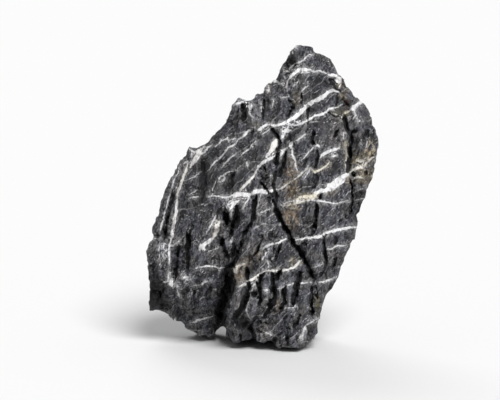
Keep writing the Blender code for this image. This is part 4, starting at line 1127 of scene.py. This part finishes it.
colour = mixed(white, colour, calcite)
# painted shade: hollows, broad basins and the shade spots are darkened towards near-black, as the shade
# that falls in them
painted_crevice_shade = rise(0.2, 1.6, hollow_here) * 0.55 + rise(0.6, 4.5, basin_here) * 0.5
painted_crevice_shade = 1 - (1 - maths("MINIMUM", painted_crevice_shade, 0.9)) * (1 - kept("painted_shade") * (0.75 + 0.25 * small))
colour = mixed(painted_crevice_shade * (1 - vein * 0.6), colour, SHADE_BLACK)
# painted shade: the nicks are painted near-black, as the shade in these small cuts
colour = mixed(nicks * 0.7 * (1 - vein), colour, SHADE_BLACK)
# painted shade: cracks, pits and the slots of the back and sides are painted near-black, as the shade deep
# in them
crack = 1 - rise(-0.4, 0.4, kept("crack_gap") + ragged * 0.3)
crack = maths("MAXIMUM", crack, rise(1.2, 3.4, kept("slot_depth"))) * 0.96
colour = mixed(crack, colour, SHADE_BLACK)

# small flat facets, each tipped its own way
FACETS = ((5.5, 2.6), (2.3, 1.5))
facet = 0.0
for size, lift in FACETS:
    in_beds = bedded_by(size, size * 1.4, size * 2.2)
    cells = rock_node("ShaderNodeTexVoronoi", {}, {"Vector": in_beds, "Scale": 1.0})
    from_middle = vector_maths("SUBTRACT", 0, first=in_beds, second=Strand(cells.outputs["Position"]))
    tip = vector_maths("SUBTRACT", 0, first=Strand(cells.outputs["Color"]), second=(0.5, 0.5, 0.5))
    facet = vector_maths("DOT_PRODUCT", "Value", first=from_middle, second=tip) * lift + facet

height = fine * 1.1 + small * 0.9 + streaks * 0.7 + facet + vein * 0.35 + hairs * 0.2 - crack * 0.8
height = height + grain * 0.3 + flecks * 0.3 - nicks * 0.9
bump = rock_node("ShaderNodeBump", {}, {"Strength": 1.0, "Distance": UNIT * 1.3, "Height": height})
rock.node_tree.links.new(colour.socket, surface.inputs["Base Color"])
roughness = 0.72 - 0.25 * small - 0.1 * vein + 0.2 * crack
rock.node_tree.links.new(roughness.socket, surface.inputs["Roughness"])
rock.node_tree.links.new(bump.outputs[0], surface.inputs["Normal"])

stone.data.materials.clear()
stone.data.materials.append(rock)
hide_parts("seiryu_stone")
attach(stone, "root")


# The floor is a wide sheet of matt white paper.
PAPER_RADIUS = 30
PAPER_WHITE = (0.78, 0.78, 0.78, 1)
bpy.ops.object.select_all(action="DESELECT")
bpy.ops.mesh.primitive_circle_add(vertices=64, radius=PAPER_RADIUS, fill_type="NGON", location=(0, 0, 0))
paper = bpy.context.object
paper.name = "paper"
white_paper = bpy.data.materials.new("white_paper")
white_paper.use_nodes = True
paper_surface = white_paper.node_tree.nodes["Principled BSDF"]
paper_surface.inputs["Base Color"].default_value = PAPER_WHITE
paper_surface.inputs["Roughness"].default_value = 0.9
paper_surface.inputs["Specular IOR Level"].default_value = 0.0
paper.data.materials.append(white_paper)


# The studio is a pale room whose walls look white, with a wide soft light high on the right in front of
# the stone and a weaker one behind it.
ROOM_LIGHT = 0.30
WALL_LIGHT = 0.94
KEY_LIGHT = 3.2
KEY_HEIGHT = math.radians(46)
KEY_SIDE = math.radians(20)
KEY_SOFTNESS = math.radians(28)
BACK_LIGHT = 1.1
BACK_HEIGHT = math.radians(38)
BACK_SIDE = math.radians(195)
BACK_SOFTNESS = math.radians(40)
room = bpy.data.worlds.new("pale_room")
room.use_nodes = True
room_light = room.node_tree.nodes["Background"]
room_light.inputs["Color"].default_value = (1, 1, 1, 1)
room_light.inputs["Strength"].default_value = ROOM_LIGHT
white_wall = room.node_tree.nodes.new("ShaderNodeBackground")
white_wall.inputs["Color"].default_value = (1, 1, 1, 1)
white_wall.inputs["Strength"].default_value = WALL_LIGHT
looked_at = room.node_tree.nodes.new("ShaderNodeLightPath")
room_mix = room.node_tree.nodes.new("ShaderNodeMixShader")
room.node_tree.links.new(looked_at.outputs["Is Camera Ray"], room_mix.inputs[0])
room.node_tree.links.new(room_light.outputs[0], room_mix.inputs[1])
room.node_tree.links.new(white_wall.outputs[0], room_mix.inputs[2])
room.node_tree.links.new(room_mix.outputs[0], room.node_tree.nodes["World Output"].inputs[0])
bpy.context.scene.world = room
bpy.ops.object.light_add(type="SUN", rotation=(math.pi / 2 - KEY_HEIGHT, 0, KEY_SIDE))
key = bpy.context.object
key.name = "key"
key.data.energy = KEY_LIGHT
key.data.angle = KEY_SOFTNESS
bpy.ops.object.light_add(type="SUN", rotation=(math.pi / 2 - BACK_HEIGHT, 0, BACK_SIDE))
back = bpy.context.object
back.name = "back_light"
back.data.energy = BACK_LIGHT
back.data.angle = BACK_SOFTNESS
bpy.context.scene.view_settings.view_transform = "Standard"
